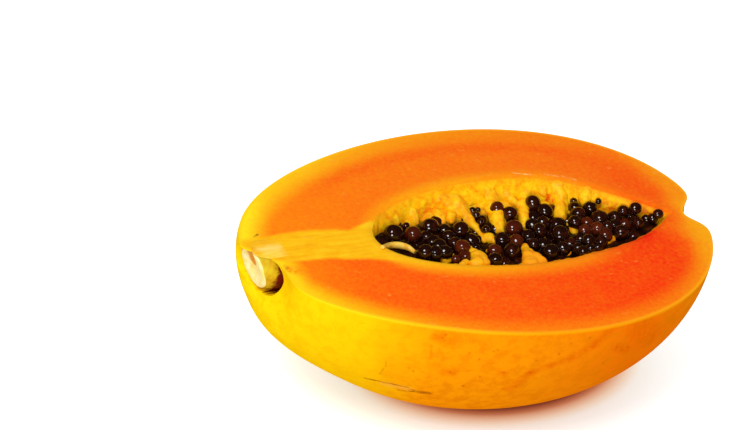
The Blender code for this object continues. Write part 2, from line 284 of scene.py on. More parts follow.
def skin_points(phi, turn):
    """Points of the skin at angle phi of the outline. Turn runs underneath, from 0 at the front rim to 1."""
    along = (1 - np.cos(phi)) / 2
    front = np.sin(phi) * (FRONT_WIDTH - FRONT_TAPER * np.cos(phi))
    back = np.sin(phi) * (BACK_WIDTH - BACK_TAPER * np.cos(phi))
    half_width = (front + back) / 2
    depth = half_width * (DEPTH_RATIO - DEPTH_FALL * (along - 0.5))
    depth = depth * (1 - FLATTER * bell(along - FLATTER_AT, FLATTER_SPREAD))
    centre = (depth**2 - half_width**2) / (2 * depth)
    radius = depth - centre
    rim = np.arcsin(centre / radius)
    angle = -rim + (np.pi + 2 * rim) * turn
    ridge = RIDGE_HEIGHT * np.sin(phi) * np.sin(np.pi * turn) ** 2
    radius = radius + ridge * np.cos(RIDGES * (angle - RIDGE_START))
    y = (back - front) / 2 - radius * np.cos(angle)
    z = np.maximum(-centre - radius * np.sin(angle), -CUT_HEIGHT)
    x = along * LENGTH + 0 * y
    dimple = DIMPLE_DEPTH * bell(np.hypot(y - DIMPLE_PLACE[0], z - DIMPLE_PLACE[1]), DIMPLE_SPREAD)
    dent = DENT_DEPTH * bell(np.hypot(y - DENT_PLACE[0], z - DENT_PLACE[1]), DENT_SPREAD)
    drawn_in = DENT_BACK_AT_CUT * smooth_step(-DENT_BACK_DEPTH, 0, z)
    dent = dent * (1 - smooth_step(DENT_FULL_TO, DENT_NONE_FROM, y + drawn_in))
    to_end = np.clip(1 - along / SHOULDER_END, 0, 1)
    shoulder = SHOULDER * bell(z - SHOULDER_DOWN, SHOULDER_SPREAD) * to_end**2
    x = np.where(x > REST_AT, x - dimple, x + dent - shoulder)
    inwards, floor, within = socket(x, y, z)
    return np.stack([x + within * np.clip(floor - inwards, 0, None) / -STUMP_OUTWARDS[0], y, z], -1)


def hollow_outline(along):
    """The hollow's middle and half width at a share of its length."""
    half_round = 2 * np.sqrt(np.clip(along * (1 - along), 0, 1))
    half_width = HOLLOW_HALF_WIDTH * half_round ** np.where(along < 0.5, 1.0, HOLLOW_POINT)
    middle = HOLLOW_MIDDLE * half_round + HOLLOW_TIP_SHIFT * smooth_step(HOLLOW_SHIFT_FROM, 1.0, along)
    return middle, half_width


def hollow_width_at(half_width, under):
    """The half width left at a depth under the cut face: half an ellipse with a sloping lip above it."""
    size = np.maximum(half_width / HOLLOW_HALF_WIDTH, 1e-6)
    narrowed = np.sqrt(np.clip(1 - (under / (HOLLOW_DEPTH * size)) ** 2, 0, 1))
    inner = (half_width - HOLLOW_LIP * size) * narrowed
    return inner + HOLLOW_LIP * size * np.clip(1 - under / (HOLLOW_LIP_DEPTH * size), 0, 1) ** 2


def lumps(points, size, octaves=1):
    """Smooth noise of about -1 to 1 with lumps of this size in mm, and finer ones for each octave."""
    return np.array([noise.fractal(Vector(point) / size, 1.0, 2.0, octaves) for point in points])


def nearest_distance(points, to_points):
    tree = kdtree.KDTree(len(to_points))
    for number, point in enumerate(to_points):
        tree.insert(point, number)
    tree.balance()
    return np.array([tree.find(point)[2] for point in points])


even = np.linspace(1e-4, np.pi - 1e-4, SKIN_ROWS)
phi = even - ROWS_TO_ENDS * np.sin(2 * even) / 2
skin = skin_points(phi[:, None], np.linspace(0, 1, SKIN_COLUMNS)[None, :])
# Round the rim, out along the front and back along the far side, and round the hollow's edge beside it
rim = np.vstack([skin[:, 0], skin[-2:0:-1, -1]])
edge_along = np.concatenate([(1 - np.cos(phi)) / 2, (1 - np.cos(phi[-2:0:-1])) / 2])
edge_middle, edge_half = hollow_outline(edge_along)
edge_side = np.concatenate([-np.ones(SKIN_ROWS), np.ones(SKIN_ROWS - 2)])
edge_x = HOLLOW_START + edge_along * (HOLLOW_END - HOLLOW_START)
edge = np.stack([edge_x, edge_middle + edge_side * edge_half, 0 * edge_x], -1)
share = np.linspace(0, 1, CUT_ROWS)[1:, None, None] ** CUT_ROWS_TO_EDGE
cut = rim[None] * (1 - share) + edge[None] * share
down = np.linspace(0, 1, WALL_ROWS)[1:, None] ** WALL_ROWS_TO_LIP * np.pi / 2
under = HOLLOW_DEPTH * edge_half[None] / HOLLOW_HALF_WIDTH * np.sin(down)
wall_width = hollow_width_at(edge_half[None], under)
wall = np.stack([edge_x + 0 * under, edge_middle + edge_side * wall_width, -under], -1)

cut_flat, wall_flat = cut.reshape(-1, 3), wall.reshape(-1, 3)
cut_rim = nearest_distance(cut_flat, rim)
cut_edge = nearest_distance(cut_flat, edge)
cut_flat[:, 2] -= LIP_DROP * (1 - smooth_step(0, LIP_ROUND, cut_edge)) ** 2
cut_flat[:, 2] += CUT_RELIEF * lumps(cut_flat, CUT_WAVE, 3) * smooth_step(0, CUT_RELIEF_FROM_RIM, cut_rim)
knobs = PULP_RELIEF * lumps(wall_flat * PULP_TALLER, PULP_KNOB, 2)
knobs += PULP_GRAIN_RELIEF * lumps(wall_flat, PULP_GRAIN, 1)
knobs *= smooth_step(0, PULP_FROM_LIP, -wall_flat[:, 2])
wall_flat[:, 1] -= np.tile(edge_side, WALL_ROWS - 1) * knobs
wall_flat[:, 2] -= LIP_DROP

loop = len(rim)
skin_index = np.arange(SKIN_ROWS * SKIN_COLUMNS).reshape(SKIN_ROWS, SKIN_COLUMNS)
rim_index = np.concatenate([skin_index[:, 0], skin_index[-2:0:-1, -1]])
cut_index = np.arange(len(cut_flat)).reshape(-1, loop) + skin_index.size
wall_index = np.arange(len(wall_flat)).reshape(-1, loop) + skin_index.size + len(cut_flat)


def quads(grid, closed):
    """The faces between a grid's rows and columns, the last column joined to the first if it is closed."""
    a = grid if closed else grid[:, :-1]
    b = np.roll(grid, -1, axis=1) if closed else grid[:, 1:]
    return np.stack([a[:-1], b[:-1], b[1:], a[1:]], -1).reshape(-1, 4)


def mesh_piece(name, points, faces, body="root"):
    """A piece from points in mm on the fruit."""
    mesh = bpy.data.meshes.new(name)
    mesh.from_pydata(to_world(points).tolist(), [], faces)
    piece = bpy.data.objects.new(name, mesh)
    bpy.context.scene.collection.objects.link(piece)
    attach(piece, body)
    return piece


skin_faces = quads(skin_index, False)[:, ::-1]
inner_faces = np.vstack([quads(np.vstack([rim_index[None], cut_index]), True),
                         quads(np.vstack([cut_index[-1:], wall_index]), True)])
flesh_points = np.vstack([skin.reshape(-1, 3), cut_flat, wall_flat])
flesh_faces = np.vstack([skin_faces, inner_faces]).tolist()
flesh = mesh_piece("papaya_flesh", flesh_points, flesh_faces)
flesh.data.polygons.foreach_set("material_index", [0] * len(skin_faces) + [1] * len(inner_faces))


def give(piece, name, values):
    """Lay a number on each point of a piece, for its material to read."""
    made = piece.data.attributes.new(name, "FLOAT", "POINT")
    made.data.foreach_set("value", np.asarray(values, np.float32))


skin_flat = skin.reshape(-1, 3)
x, y, z = flesh_points.T
rim_mm = np.concatenate([nearest_distance(skin_flat, rim), cut_rim, NOT_NEAR + 0 * wall_flat[:, 0]])
edge_mm = np.concatenate([NOT_NEAR + 0 * skin_flat[:, 0], cut_edge, wall_flat[:, 2]])
give(flesh, "rim_mm", rim_mm)
# Where the skin dips deep into the gap round the stump, a mask for painted shade
inwards, floor, within = socket(*skin_flat.T)
deepness = (floor - SOCKET_BACK) / (SOCKET_FRONT - SOCKET_BACK)
gap = smooth_step(*GAP_WITHIN, within) * smooth_step(*GAP_DEEP, deepness)
give(flesh, "gap", np.append(gap, np.zeros(len(cut_flat) + len(wall_flat))))
give(flesh, "edge_mm", edge_mm)

# The pale fibres run from the stump to the hollow, in a band that narrows to the middle and widens again
BAND_X = (0.0, 18.0, 30.0, 42.0, 52.0, 60.0)
BAND_BACK = (6.0, 7.1, 7.2, 5.0, 9.0, 16.0)
BAND_FRONT = (-5.0, -8.0, -9.0, -11.0, -14.0, -18.0)
BAND_END, BAND_FADE, BAND_SOFT = 62.0, 12.0, 2.5
band_low = np.interp(x, BAND_X, BAND_FRONT)
band_high = np.interp(x, BAND_X, BAND_BACK)
band = smooth_step(-BAND_SOFT, BAND_SOFT, y - band_low) * smooth_step(-BAND_SOFT, BAND_SOFT, band_high - y)
band *= 1 - smooth_step(BAND_END - BAND_FADE, BAND_END, x)
give(flesh, "band", band)


def face_outwards(piece, same_point=0.0):
    """Join the points that lie at one place, and turn every face to the outside."""
    bm = bmesh.new()
    bm.from_mesh(piece.data)
    if same_point:
        bmesh.ops.remove_doubles(bm, verts=bm.verts, dist=same_point)
    bmesh.ops.recalc_face_normals(bm, faces=bm.faces)
    bm.to_mesh(piece.data)
    bm.free()
    piece.data.shade_smooth()


face_outwards(flesh, SAME_POINT)
flesh.data.set_sharp_from_angle(angle=FLESH_SHARP)
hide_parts("papaya_half")


def light_value(shown):
    """The linear value of a colour channel as a screen shows it, 0 to 255."""
    share = shown / 255
    return share / 12.92 if share <= 0.04045 else ((share + 0.055) / 1.055) ** 2.4


def colour(*shown):
    return (*(light_value(channel) for channel in shown), 1.0)


def ramp(tree, value, *stops):
    """A colour that runs through these stops: (place, shown colour)."""
    return linear_ramp(tree, value, [(place, colour(*shown)) for place, shown in stops])


def number(tree, operation, *values):
    return add(tree, "Math", dict(enumerate(values)), operation=operation).outputs[0]


def plus(tree, first, second):
    return number(tree, "ADD", first, second)


def times(tree, first, second):
    return number(tree, "MULTIPLY", first, second)


def between(tree, value, low, high, from_value=0.0, to_value=1.0):
    """A value taken smoothly from one range to another."""
    inputs = {"Value": value, "From Min": low, "From Max": high, "To Min": from_value, "To Max": to_value}
    return add(tree, "MapRange", inputs, interpolation_type="SMOOTHSTEP").outputs[0]


def mix(tree, factor, first, second):
    """One colour mixed into another, by a factor."""
    made = add(tree, "Mix", {"Factor": factor}, data_type="RGBA")
    for socket_in, value in ((made.inputs[6], first), (made.inputs[7], second)):
        if isinstance(value, bpy.types.NodeSocket):
            tree.links.new(value, socket_in)
        else:
            socket_in.default_value = value
    return made.outputs[2]


def tinted(tree, base, mask, amount, shown):
    """A colour taken towards another one, as a screen shows it, where a mask is full and by this amount."""
    return mix(tree, times(tree, mask, amount), base, colour(*shown))


def attribute(tree, name):
    return add(tree, "Attribute", attribute_name=name).outputs["Fac"]


def vector(tree, operation, first, second, output=0):
    return add(tree, "VectorMath", {0: first, 1: second}, operation=operation).outputs[output]


def scaled(tree, value, scale):
    return add(tree, "VectorMath", {0: value, "Scale": scale}, operation="SCALE").outputs[0]


def fruit_place(tree):
    """The place in mm from the flat spot, and its three parts."""
    place = scaled(tree, add(tree, "TexCoord").outputs["Object"], 1 / MM)
    return place, *add(tree, "SeparateXYZ", {0: place}).outputs


def share_along(tree, place_x):
    """The share of the fruit's length from its stalk end."""
    inputs = {"Value": place_x, "From Min": -REST_AT, "From Max": LENGTH - REST_AT}
    return add(tree, "MapRange", inputs).outputs[0]


def grain(tree, place, size, detail=3.0, roughness=0.5, stretch=None):
    """Noise of 0 to 1 with lumps of this size in mm, stretched along each axis."""
    if stretch:
        place = vector(tree, "MULTIPLY", place, tuple(1 / part for part in stretch))
    inputs = {"Vector": place, "Scale": 1 / size, "Detail": detail, "Roughness": roughness}
    return add(tree, "TexNoise", inputs).outputs["Fac"]


def about(tree, value, amount):
    """A noise of 0 to 1 as a number to either side of 0."""
    return times(tree, number(tree, "SUBTRACT", value, 0.5), amount)


def between_places(tree, place, start, end, full, none):
    """A mask along a line between two places, full within one distance of it and none from the other."""
    line = Vector(end) - Vector(start)
    from_start = vector(tree, "SUBTRACT", place, tuple(start))
    dot = vector(tree, "DOT_PRODUCT", from_start, tuple(line), "Value")
    inputs = {0: dot, 1: max(line.length_squared, 1e-6)}
    share = add(tree, "Math", inputs, operation="DIVIDE", use_clamp=True).outputs[0]
    apart = vector(tree, "DISTANCE", from_start, scaled(tree, tuple(line), share), "Value")
    return between(tree, apart, full, none, 1.0, 0.0)


def bumped(tree, shader, height, strength, distance=0.0004, socket_name="Normal"):
    made = add(tree, "Bump", {"Height": height, "Strength": strength, "Distance": distance})
    tree.links.new(made.outputs[0], shader.inputs[socket_name])


def new_material(name, roughness, specular):
    made = bpy.data.materials.new(name)
    made.use_nodes = True
    shader = made.node_tree.nodes["Principled BSDF"]
    shader.inputs["Roughness"].default_value = roughness
    shader.inputs["Specular IOR Level"].default_value = specular
    return made, made.node_tree, shader


def new_effect(name, **outputs):
    """A node group that takes a place in mm and puts out these colours and numbers."""
    made = bpy.data.node_groups.new(name, "ShaderNodeTree")
    made.interface.new_socket("Place", in_out="INPUT", socket_type="NodeSocketVector")
    for output, kind in outputs.items():
        made.interface.new_socket(output, in_out="OUTPUT", socket_type="NodeSocket" + kind)
    return made, made.nodes.new("NodeGroupInput").outputs["Place"], made.nodes.new("NodeGroupOutput")


def effect(tree, made, place):
    return add(tree, "Group", {"Place": place}, node_tree=made).outputs


flesh_tree = BVHTree.FromPolygons(flesh_points.tolist(), flesh_faces)
to_fruit = Vector((REST_AT, REST_ACROSS, -CUT_HEIGHT))


def seen_on_fruit(x, y):
    """The place on the fruit, in mm from its flat spot, that a pixel shows."""
    hit = flesh_tree.ray_cast(CAMERA_PLACE + to_fruit, view_ray(x, y).normalized())[0]
    return (hit or Vector(seen_at_height(x, y, 0.0))) - to_fruit


# What marks the skin: a rubbed scar near the stalk end, a scratch, a long bruise along a ridge, and dark
# specks. Each line is its two ends in the picture, and how far from it the mark is full and gone, in mm
SCARS = (
    ((365, 378), (374, 380.2), 0.2, 1.0), ((372, 379.5), (396, 384.6), 0.0, 0.8),
    ((394, 384.4), (408, 387.4), 0.0, 0.7), ((399, 390.2), (412, 391.6), 0.0, 0.8),
    ((412, 390.6), (428, 393.2), 0.5, 2.0),
)
SCRATCH = (((386.2, 361), (385.6, 366.5), 0.0, 0.5), ((385.6, 366.5), (379.4, 373.6), 0.0, 0.5))
RUBBED = (((384, 383.5), (408, 388.8), 0.8, 2.6),)
BRUISES = (
    ((614.5, 327), (594.4, 344.4), 0.4, 3.0), ((594.4, 344.4), (571.4, 358.5), 0.5, 3.2),
    ((571.4, 358.5), (551, 364.8), 0.0, 2.2), ((551, 364.8), (530.6, 373), 0.3, 2.6),
    ((530.6, 373), (508, 389), 0.3, 3.4), ((431, 346), (431, 358), 0.0, 1.0),
    ((616, 347), (627, 349.5), 0.6, 3.4), ((640, 327), (650, 337), 2.0, 9.0),
    ((436, 337), (450, 340), 0.2, 3.0), ((443, 372), (452, 373), 0.2, 3.0),
    ((500, 372), (505, 374), 0.2, 2.4),
)
SPECKS = (
    (443, 338), (450.4, 372), (479.5, 377), (408.6, 368), (413.7, 371), (462.6, 385.6), (616.7, 347.6),
    (622.4, 350.6), (628, 347), (603.3, 362.6), (503.2, 372.5), (537, 360.6), (531, 372.5), (516, 387),
    (446, 335), (470, 353), (498, 350), (559, 354), (479, 359), (463, 386), (494, 351.5), (590, 338),
    (571, 343),
)
SPECK_SIZE, SPECK_AMOUNT, FRECKLE_AMOUNT, RIND_RIM_AMOUNT = 0.9, 0.45, 0.45, 0.6
SCAR_COLOUR, RUBBED_COLOUR = (150, 78, 8), (246, 176, 66)
BRUISE_COLOUR, SPECK_COLOUR = (226, 92, 0), (186, 74, 2)
RIND_MARKS = (
    (RUBBED, RUBBED_COLOUR, 0.6), (BRUISES, BRUISE_COLOUR, 0.55), (SCARS, SCAR_COLOUR, 0.85),
    (SCRATCH, SCAR_COLOUR, 0.5),
)
# The rind's colours by the share of the length, from the stalk end, and their shift from bottom to rim, a
# painted light from below: yellower low down, more orange up by the rim
RIND_COLOURS = (
    (0.04, (255, 220, 14)), (0.1, (255, 209, 8)), (0.18, (255, 197, 6)), (0.24, (255, 178, 5)),
    (0.31, (254, 156, 4)), (0.42, (250, 148, 4)), (0.52, (246, 142, 5)), (0.65, (244, 128, 5)),
    (0.74, (246, 116, 4)), (0.85, (254, 130, 6)), (0.97, (255, 152, 10)),
)
RIND_SHIFT_PAINTED_LIGHT, RIND_PATCHES = (-0.075, 0.045), 0.16
DULL_YELLOW, DULL_ORANGE = colour(248, 186, 4), colour(228, 122, 2)
RIM_YELLOW, RIM_ORANGE = colour(255, 214, 24), colour(255, 176, 10)
GAP_PAINTED_SHADE = colour(96, 12, 2)

rind, tree, shader = new_material("papaya rind", roughness=0.5, specular=0.0)
place, place_x, place_y, place_z = fruit_place(tree)
patches = grain(tree, place, size=24.0, detail=4.0, roughness=0.6)
along = plus(tree, share_along(tree, place_x), about(tree, patches, RIND_PATCHES))
# Painted light from below: the skin is shifted yellower low down and more orange by the rim
along = plus(tree, along, between(tree, place_z, 0.0, CUT_HEIGHT, *RIND_SHIFT_PAINTED_LIGHT))
skin_colour = ramp(tree, along, *RIND_COLOURS)
dull = between(tree, grain(tree, place, size=4.5, detail=4.0, roughness=0.7), 0.4, 0.65, 0.0, 0.6)
dull_colour = mix(tree, between(tree, along, 0.15, 0.35), DULL_YELLOW, DULL_ORANGE)
skin_colour = mix(tree, dull, skin_colour, dull_colour)
freckles = between(tree, grain(tree, place, size=1.1, detail=2.0, roughness=0.6), 0.66, 0.8)
skin_colour = tinted(tree, skin_colour, freckles, FRECKLE_AMOUNT, BRUISE_COLOUR)
broken = between(tree, grain(tree, place, size=1.6, detail=4.0, roughness=0.8), 0.3, 0.65, 0.2, 1.0)
drift = add(tree, "TexNoise", {"Vector": place, "Scale": 0.35}).outputs["Color"]
wander = vector(tree, "ADD", place, vector(tree, "SUBTRACT", drift, (0.5, 0.5, 0.5)))
for lines, shown, amount in RIND_MARKS:
    for from_pixel, to_pixel, full, none in lines:
        mask = between_places(tree, wander, seen_on_fruit(*from_pixel), seen_on_fruit(*to_pixel), full, none)
        skin_colour = tinted(tree, skin_colour, times(tree, mask, broken), amount, shown)
for pixel in SPECKS:
    at = seen_on_fruit(*pixel)
    mask = between_places(tree, wander, at, at, 0.0, SPECK_SIZE)
    skin_colour = tinted(tree, skin_colour, mask, SPECK_AMOUNT, SPECK_COLOUR)
rim_line = between(tree, attribute(tree, "rim_mm"), 0.2, 1.4, 1.0, 0.0)
rim_colour = mix(tree, between(tree, along, 0.2, 0.6), RIM_YELLOW, RIM_ORANGE)
skin_colour = mix(tree, times(tree, rim_line, RIND_RIM_AMOUNT), skin_colour, rim_colour)
# Painted shade, dark maroon, deep in the gap round the stump
skin_colour = mix(tree, attribute(tree, "gap"), skin_colour, GAP_PAINTED_SHADE)
tree.links.new(skin_colour, shader.inputs["Base Color"])
bumped(tree, shader, grain(tree, place, size=0.8, detail=2.0), strength=0.08)
flesh.data.materials.append(rind)

# The pale fibres that run from the stalk to the hollow, in the flesh and across the cut top of the stump
FIBRE_COLOURS = ((0.34, (247, 168, 6)), (0.5, (252, 186, 10)), (0.66, (254, 204, 26)))
fibre_effect, place, out = new_effect("pale fibres", Color="Color")
strands = grain(fibre_effect, place, size=1.5, detail=4.0, roughness=0.65, stretch=(11.0, 1.0, 1.0))
cloud = grain(fibre_effect, place, size=6.0, detail=3.0, roughness=0.6)
streaks = plus(fibre_effect, times(fibre_effect, strands, 0.55), times(fibre_effect, cloud, 0.45))
fibre_effect.links.new(ramp(fibre_effect, streaks, *FIBRE_COLOURS), out.inputs["Color"])

# The pulp, on the hollow's wall and on the tongues that hang from it
PULP_COLOURS = ((0.3, (240, 128, 2)), (0.44, (251, 168, 5)), (0.54, (254, 190, 8)), (0.68, (255, 206, 24)))
pulp_effect, place, out = new_effect("yellow pulp", Color="Color", Height="Float")
knobs = grain(pulp_effect, place, size=2.6, detail=3.0, roughness=0.6)
cells = grain(pulp_effect, place, size=0.9, detail=3.0, roughness=0.6)
creased = plus(pulp_effect, times(pulp_effect, knobs, 0.75), times(pulp_effect, cells, 0.25))
pulp_effect.links.new(ramp(pulp_effect, creased, *PULP_COLOURS), out.inputs["Color"])
pulp_effect.links.new(cells, out.inputs["Height"])

# What marks the flesh: a nick by the stalk, painted shade in a dark cleft between two tongues, bruised red
# wall, and painted glints on the wet lip. Each is a line in the picture, where it is full and gone, in mm,
# its strength and its colour
FLESH_MARKS_SHADE_AND_GLINTS = (
    ((254.3, 237), (257.6, 234.4), 0.1, 0.7, 0.8, (130, 76, 8)),
    # Painted shade in the cleft between two tongues
    ((472, 209), (481, 222), 0.8, 2.2, 1.0, (30, 9, 3)),
    ((481, 222), (489, 236), 0.5, 1.6, 1.0, (30, 9, 3)),
    ((548.5, 196.5), (550, 203), 0.8, 2.2, 1.0, (230, 62, 2)),
    ((600, 205), (622, 209), 0.6, 3.2, 0.75, (214, 84, 2)),
    ((638, 207), (648, 214), 0.5, 3.0, 0.8, (196, 78, 4)),
    ((289, 269.5), (301, 271), 0.8, 3.2, 0.95, (250, 146, 3)),
    ((285.5, 266), (287, 270), 0.2, 1.2, 0.9, (214, 128, 12)),
    ((572, 199.5), (575, 202), 0.3, 1.3, 0.85, (120, 44, 6)),
    # Painted glints on the wet lip
    ((513, 173), (531, 174.8), 0.0, 0.5, 0.5, (255, 226, 150)),
    ((545, 174.2), (559, 176.4), 0.0, 0.5, 0.4, (255, 220, 150)),
    ((562, 176), (576, 180), 0.0, 0.5, 0.4, (255, 220, 150)),
    ((420, 213), (436, 207.5), 0.6, 2.4, 0.85, (228, 104, 4)),
)
# The flesh's colours by the share of the length: next to the rim, deep between, and next to the hollow's
# edge, each for the near side and for the far side
PALE_RIM = (
    ((0.04, (255, 222, 18)), (0.1, (254, 196, 8)), (0.2, (254, 168, 4)), (0.3, (254, 142, 3)),
     (0.4, (254, 129, 3)), (0.6, (253, 126, 3)), (0.8, (252, 126, 3)), (0.9, (252, 142, 6)),
     (0.97, (252, 168, 12))),
    ((0.05, (255, 226, 22)), (0.12, (254, 198, 14)), (0.22, (254, 190, 16)), (0.3, (253, 172, 12)),
     (0.4, (253, 158, 10)), (0.5, (252, 149, 8)), (0.65, (251, 138, 6)), (0.8, (251, 126, 6)),
     (0.9, (252, 122, 6)), (0.97, (251, 146, 8))),
)
PALE_EDGE = (
    ((0.28, (254, 200, 20)), (0.37, (252, 180, 7)), (0.45, (252, 170, 4)), (0.55, (252, 150, 5)),
     (0.68, (251, 136, 4)), (0.76, (248, 90, 2)), (0.84, (245, 46, 2)), (0.9, (251, 98, 4)),
     (0.96, (252, 130, 6))),
    ((0.3, (253, 150, 6)), (0.38, (251, 154, 9)), (0.5, (250, 156, 10)), (0.62, (250, 140, 10)),
     (0.72, (251, 138, 12)), (0.8, (250, 124, 10)), (0.87, (249, 104, 7)), (0.93, (250, 104, 6))),
)
DEEP_FLESH = (
    ((0.12, (254, 122, 2)), (0.2, (254, 102, 2)), (0.32, (253, 93, 2)), (0.5, (252, 89, 3)),
     (0.65, (252, 78, 2)), (0.8, (251, 70, 2)), (0.87, (250, 68, 2)), (0.905, (252, 92, 3)),
     (0.95, (252, 154, 8))),
    ((0.08, (254, 130, 4)), (0.2, (254, 126, 5)), (0.3, (253, 120, 7)), (0.5, (252, 120, 9)),
     (0.7, (252, 116, 10)), (0.82, (251, 110, 9)), (0.87, (251, 94, 5)), (0.915, (251, 86, 4)),
     (0.96, (252, 132, 7))),
)
STREAK_COLOUR, FLECK_GLINT_COLOUR = (250, 96, 4), (255, 170, 70)
FLESH_RIM_YELLOW, FLESH_RIM_ORANGE = colour(255, 205, 20), colour(254, 172, 14)
PALE_DEPTH, FAR_RIM_WIDER, FAR_EDGE_NARROWER = 10.0, 2.5, -3.5

ripe_flesh, tree, shader = new_material("papaya flesh", roughness=0.45, specular=0.05)
place, place_x, place_y, place_z = fruit_place(tree)
# The far side of the cut is painted paler and yellower than the near side, most in the deep flesh: painted
# light
far = between(tree, place_y, -6.0, 8.0)
mottle = grain(tree, place, size=9.0, detail=5.0, roughness=0.62)
cells = grain(tree, place, size=1.6, detail=4.0, roughness=0.7)
along = plus(tree, share_along(tree, place_x), about(tree, mottle, 0.03))
rim_depth = plus(tree, attribute(tree, "rim_mm"), about(tree, mottle, 4.0))
edge_depth = plus(tree, attribute(tree, "edge_mm"), about(tree, mottle, 3.0))
rim_ripe = between(tree, rim_depth, 0.8, plus(tree, times(tree, far, FAR_RIM_WIDER), PALE_DEPTH))
edge_ripe = between(tree, edge_depth, 0.8, plus(tree, times(tree, far, FAR_EDGE_NARROWER), PALE_DEPTH))
pale_rim, pale_edge, deep = (
    mix(tree, far, ramp(tree, along, *near_side), ramp(tree, along, *far_side))
    for near_side, far_side in (PALE_RIM, PALE_EDGE, DEEP_FLESH)
)
# The flesh is reddest in a streak along the middle of the far side's rim margin
streak = times(tree, between(tree, rim_depth, 6.0, 10.0), between(tree, rim_depth, 11.0, 17.0, 1.0, 0.0))
streak = times(tree, times(tree, streak, far), between(tree, along, 0.15, 0.3))
deep = tinted(tree, deep, streak, 0.6, STREAK_COLOUR)
flesh_colour = mix(tree, edge_ripe, pale_edge, mix(tree, rim_ripe, pale_rim, deep))
grown = plus(tree, about(tree, cells, 0.62), about(tree, mottle, 0.24))
hue = plus(tree, times(tree, grown, 0.06), 0.5)
flesh_colour = add(tree, "HueSaturation", {"Hue": hue, "Color": flesh_colour}).outputs[0]
frayed = about(tree, grain(tree, place, size=5.0, detail=4.0, roughness=0.65, stretch=(3.0, 1.0, 1.0)), 0.9)
band_mask = between(tree, plus(tree, attribute(tree, "band"), frayed), 0.15, 0.85)
flesh_colour = mix(tree, band_mask, flesh_colour, effect(tree, fibre_effect, place)["Color"])
in_hollow = between(tree, attribute(tree, "edge_mm"), -2.4, 0.7, 1.0, 0.0)
to_front = between(tree, place_y, -12.0, -4.0, 0.7, 0.0)
wall_colour = mix(tree, to_front, effect(tree, pulp_effect, place)["Color"], pale_edge)
flesh_colour = mix(tree, in_hollow, flesh_colour, wall_colour)
broken = between(tree, cells, 0.42, 0.58, 0.2, 1.0)
# Marks, painted shade and painted glints, each along its line
for from_pixel, to_pixel, full, none, amount, shown in FLESH_MARKS_SHADE_AND_GLINTS:
    mask = between_places(tree, place, seen_on_fruit(*from_pixel), seen_on_fruit(*to_pixel), full, none)
    flesh_colour = tinted(tree, flesh_colour, times(tree, mask, broken), amount, shown)
rim_line = between(tree, attribute(tree, "rim_mm"), 0.3, 1.6, 1.0, 0.0)
rim_colour = mix(tree, between(tree, along, 0.2, 0.5), FLESH_RIM_YELLOW, FLESH_RIM_ORANGE)
flesh_colour = mix(tree, times(tree, rim_line, 0.75), flesh_colour, rim_colour)
# Pale dashes over the flesh: painted glints of its wet surface
glint_flecks = grain(tree, place, size=1.3, detail=1.0, roughness=0.5, stretch=(2.2, 1.0, 1.0))
flesh_colour = tinted(tree, flesh_colour, between(tree, glint_flecks, 0.7, 0.78), 0.3, FLECK_GLINT_COLOUR)
tree.links.new(flesh_colour, shader.inputs["Base Color"])
bumped(tree, shader, grain(tree, place, size=0.9, detail=3.0, roughness=0.6), strength=0.25)
flesh.data.materials.append(ripe_flesh)

# The bed of the seeds
# Dark wet pulp and seeds under the ones that show, near black: partly their own dark colour, partly painted
# shade deep among the seeds. It is the heap's own core, which fills the hollow up to the bed.
BED_DEPTH, BED_DEPTH_AT_ENDS, BED_RISE_AT_SIDES = 9.0, 4.5, 5.0
BED_GRID, BED_TIP_ANGLE = (150, 60), 0.02
BED_TRIES_FROM, BED_TRIES, BED_FLOOR_SHARE = -4.0, 6, 0.98
SIGHT_STEP = 0.1
BED_LUMP, BED_RELIEF, BED_LOWER, BED_THICK, BED_INTO_WALL = 4.5, 0.8, 0.6, 6.0, 0.5
BED_YELLOW_FROM, BED_YELLOW_SHARE = 0.35, (0.05, 0.2)
BED_RED = (((600, 206), (622, 209)), ((638, 208), (648, 215)))
BED_RED_SIZE, BED_RED_AMOUNT = (0.8, 3.4), 0.85
BED_DARK_AND_SHADE = ((0.35, (16, 6, 3)), (0.6, (52, 18, 6)), (0.8, (120, 52, 10)))
BED_RED_COLOURS = ((0.35, (120, 30, 2)), (0.6, (222, 92, 3)))


def bed_height(x, y):
    to_end = np.clip(np.abs(2 * (x - HOLLOW_START) / (HOLLOW_END - HOLLOW_START) - 1), 0, 1)
    to_side = np.clip(np.abs(y - HOLLOW_MIDDLE) / HOLLOW_HALF_WIDTH, 0, 1)
    return -(BED_DEPTH + (BED_DEPTH_AT_ENDS - BED_DEPTH) * to_end**2) + BED_RISE_AT_SIDES * to_side**2


def room_beside(x, y, height):
    """How far a place is inside the hollow's wall."""
    share = (x - HOLLOW_START) / (HOLLOW_END - HOLLOW_START)
    if not 0 < share < 1:
        return -1.0
    middle, half_width = hollow_outline(share)
    return float(hollow_width_at(half_width, max(-height, 0.0)) - abs(y - middle))


def seen_in_hollow(x, y):
    """The place on the hollow's wall or on the seeds' bed that a pixel shows."""
    height = 0.0
    found = seen_at_height(x, y, height)
    while height > -BED_DEPTH:
        height -= SIGHT_STEP
        here = seen_at_height(x, y, height)
        if room_beside(*here) < 0 or height < bed_height(here[0], here[1]):
            break
        found = here
    return found


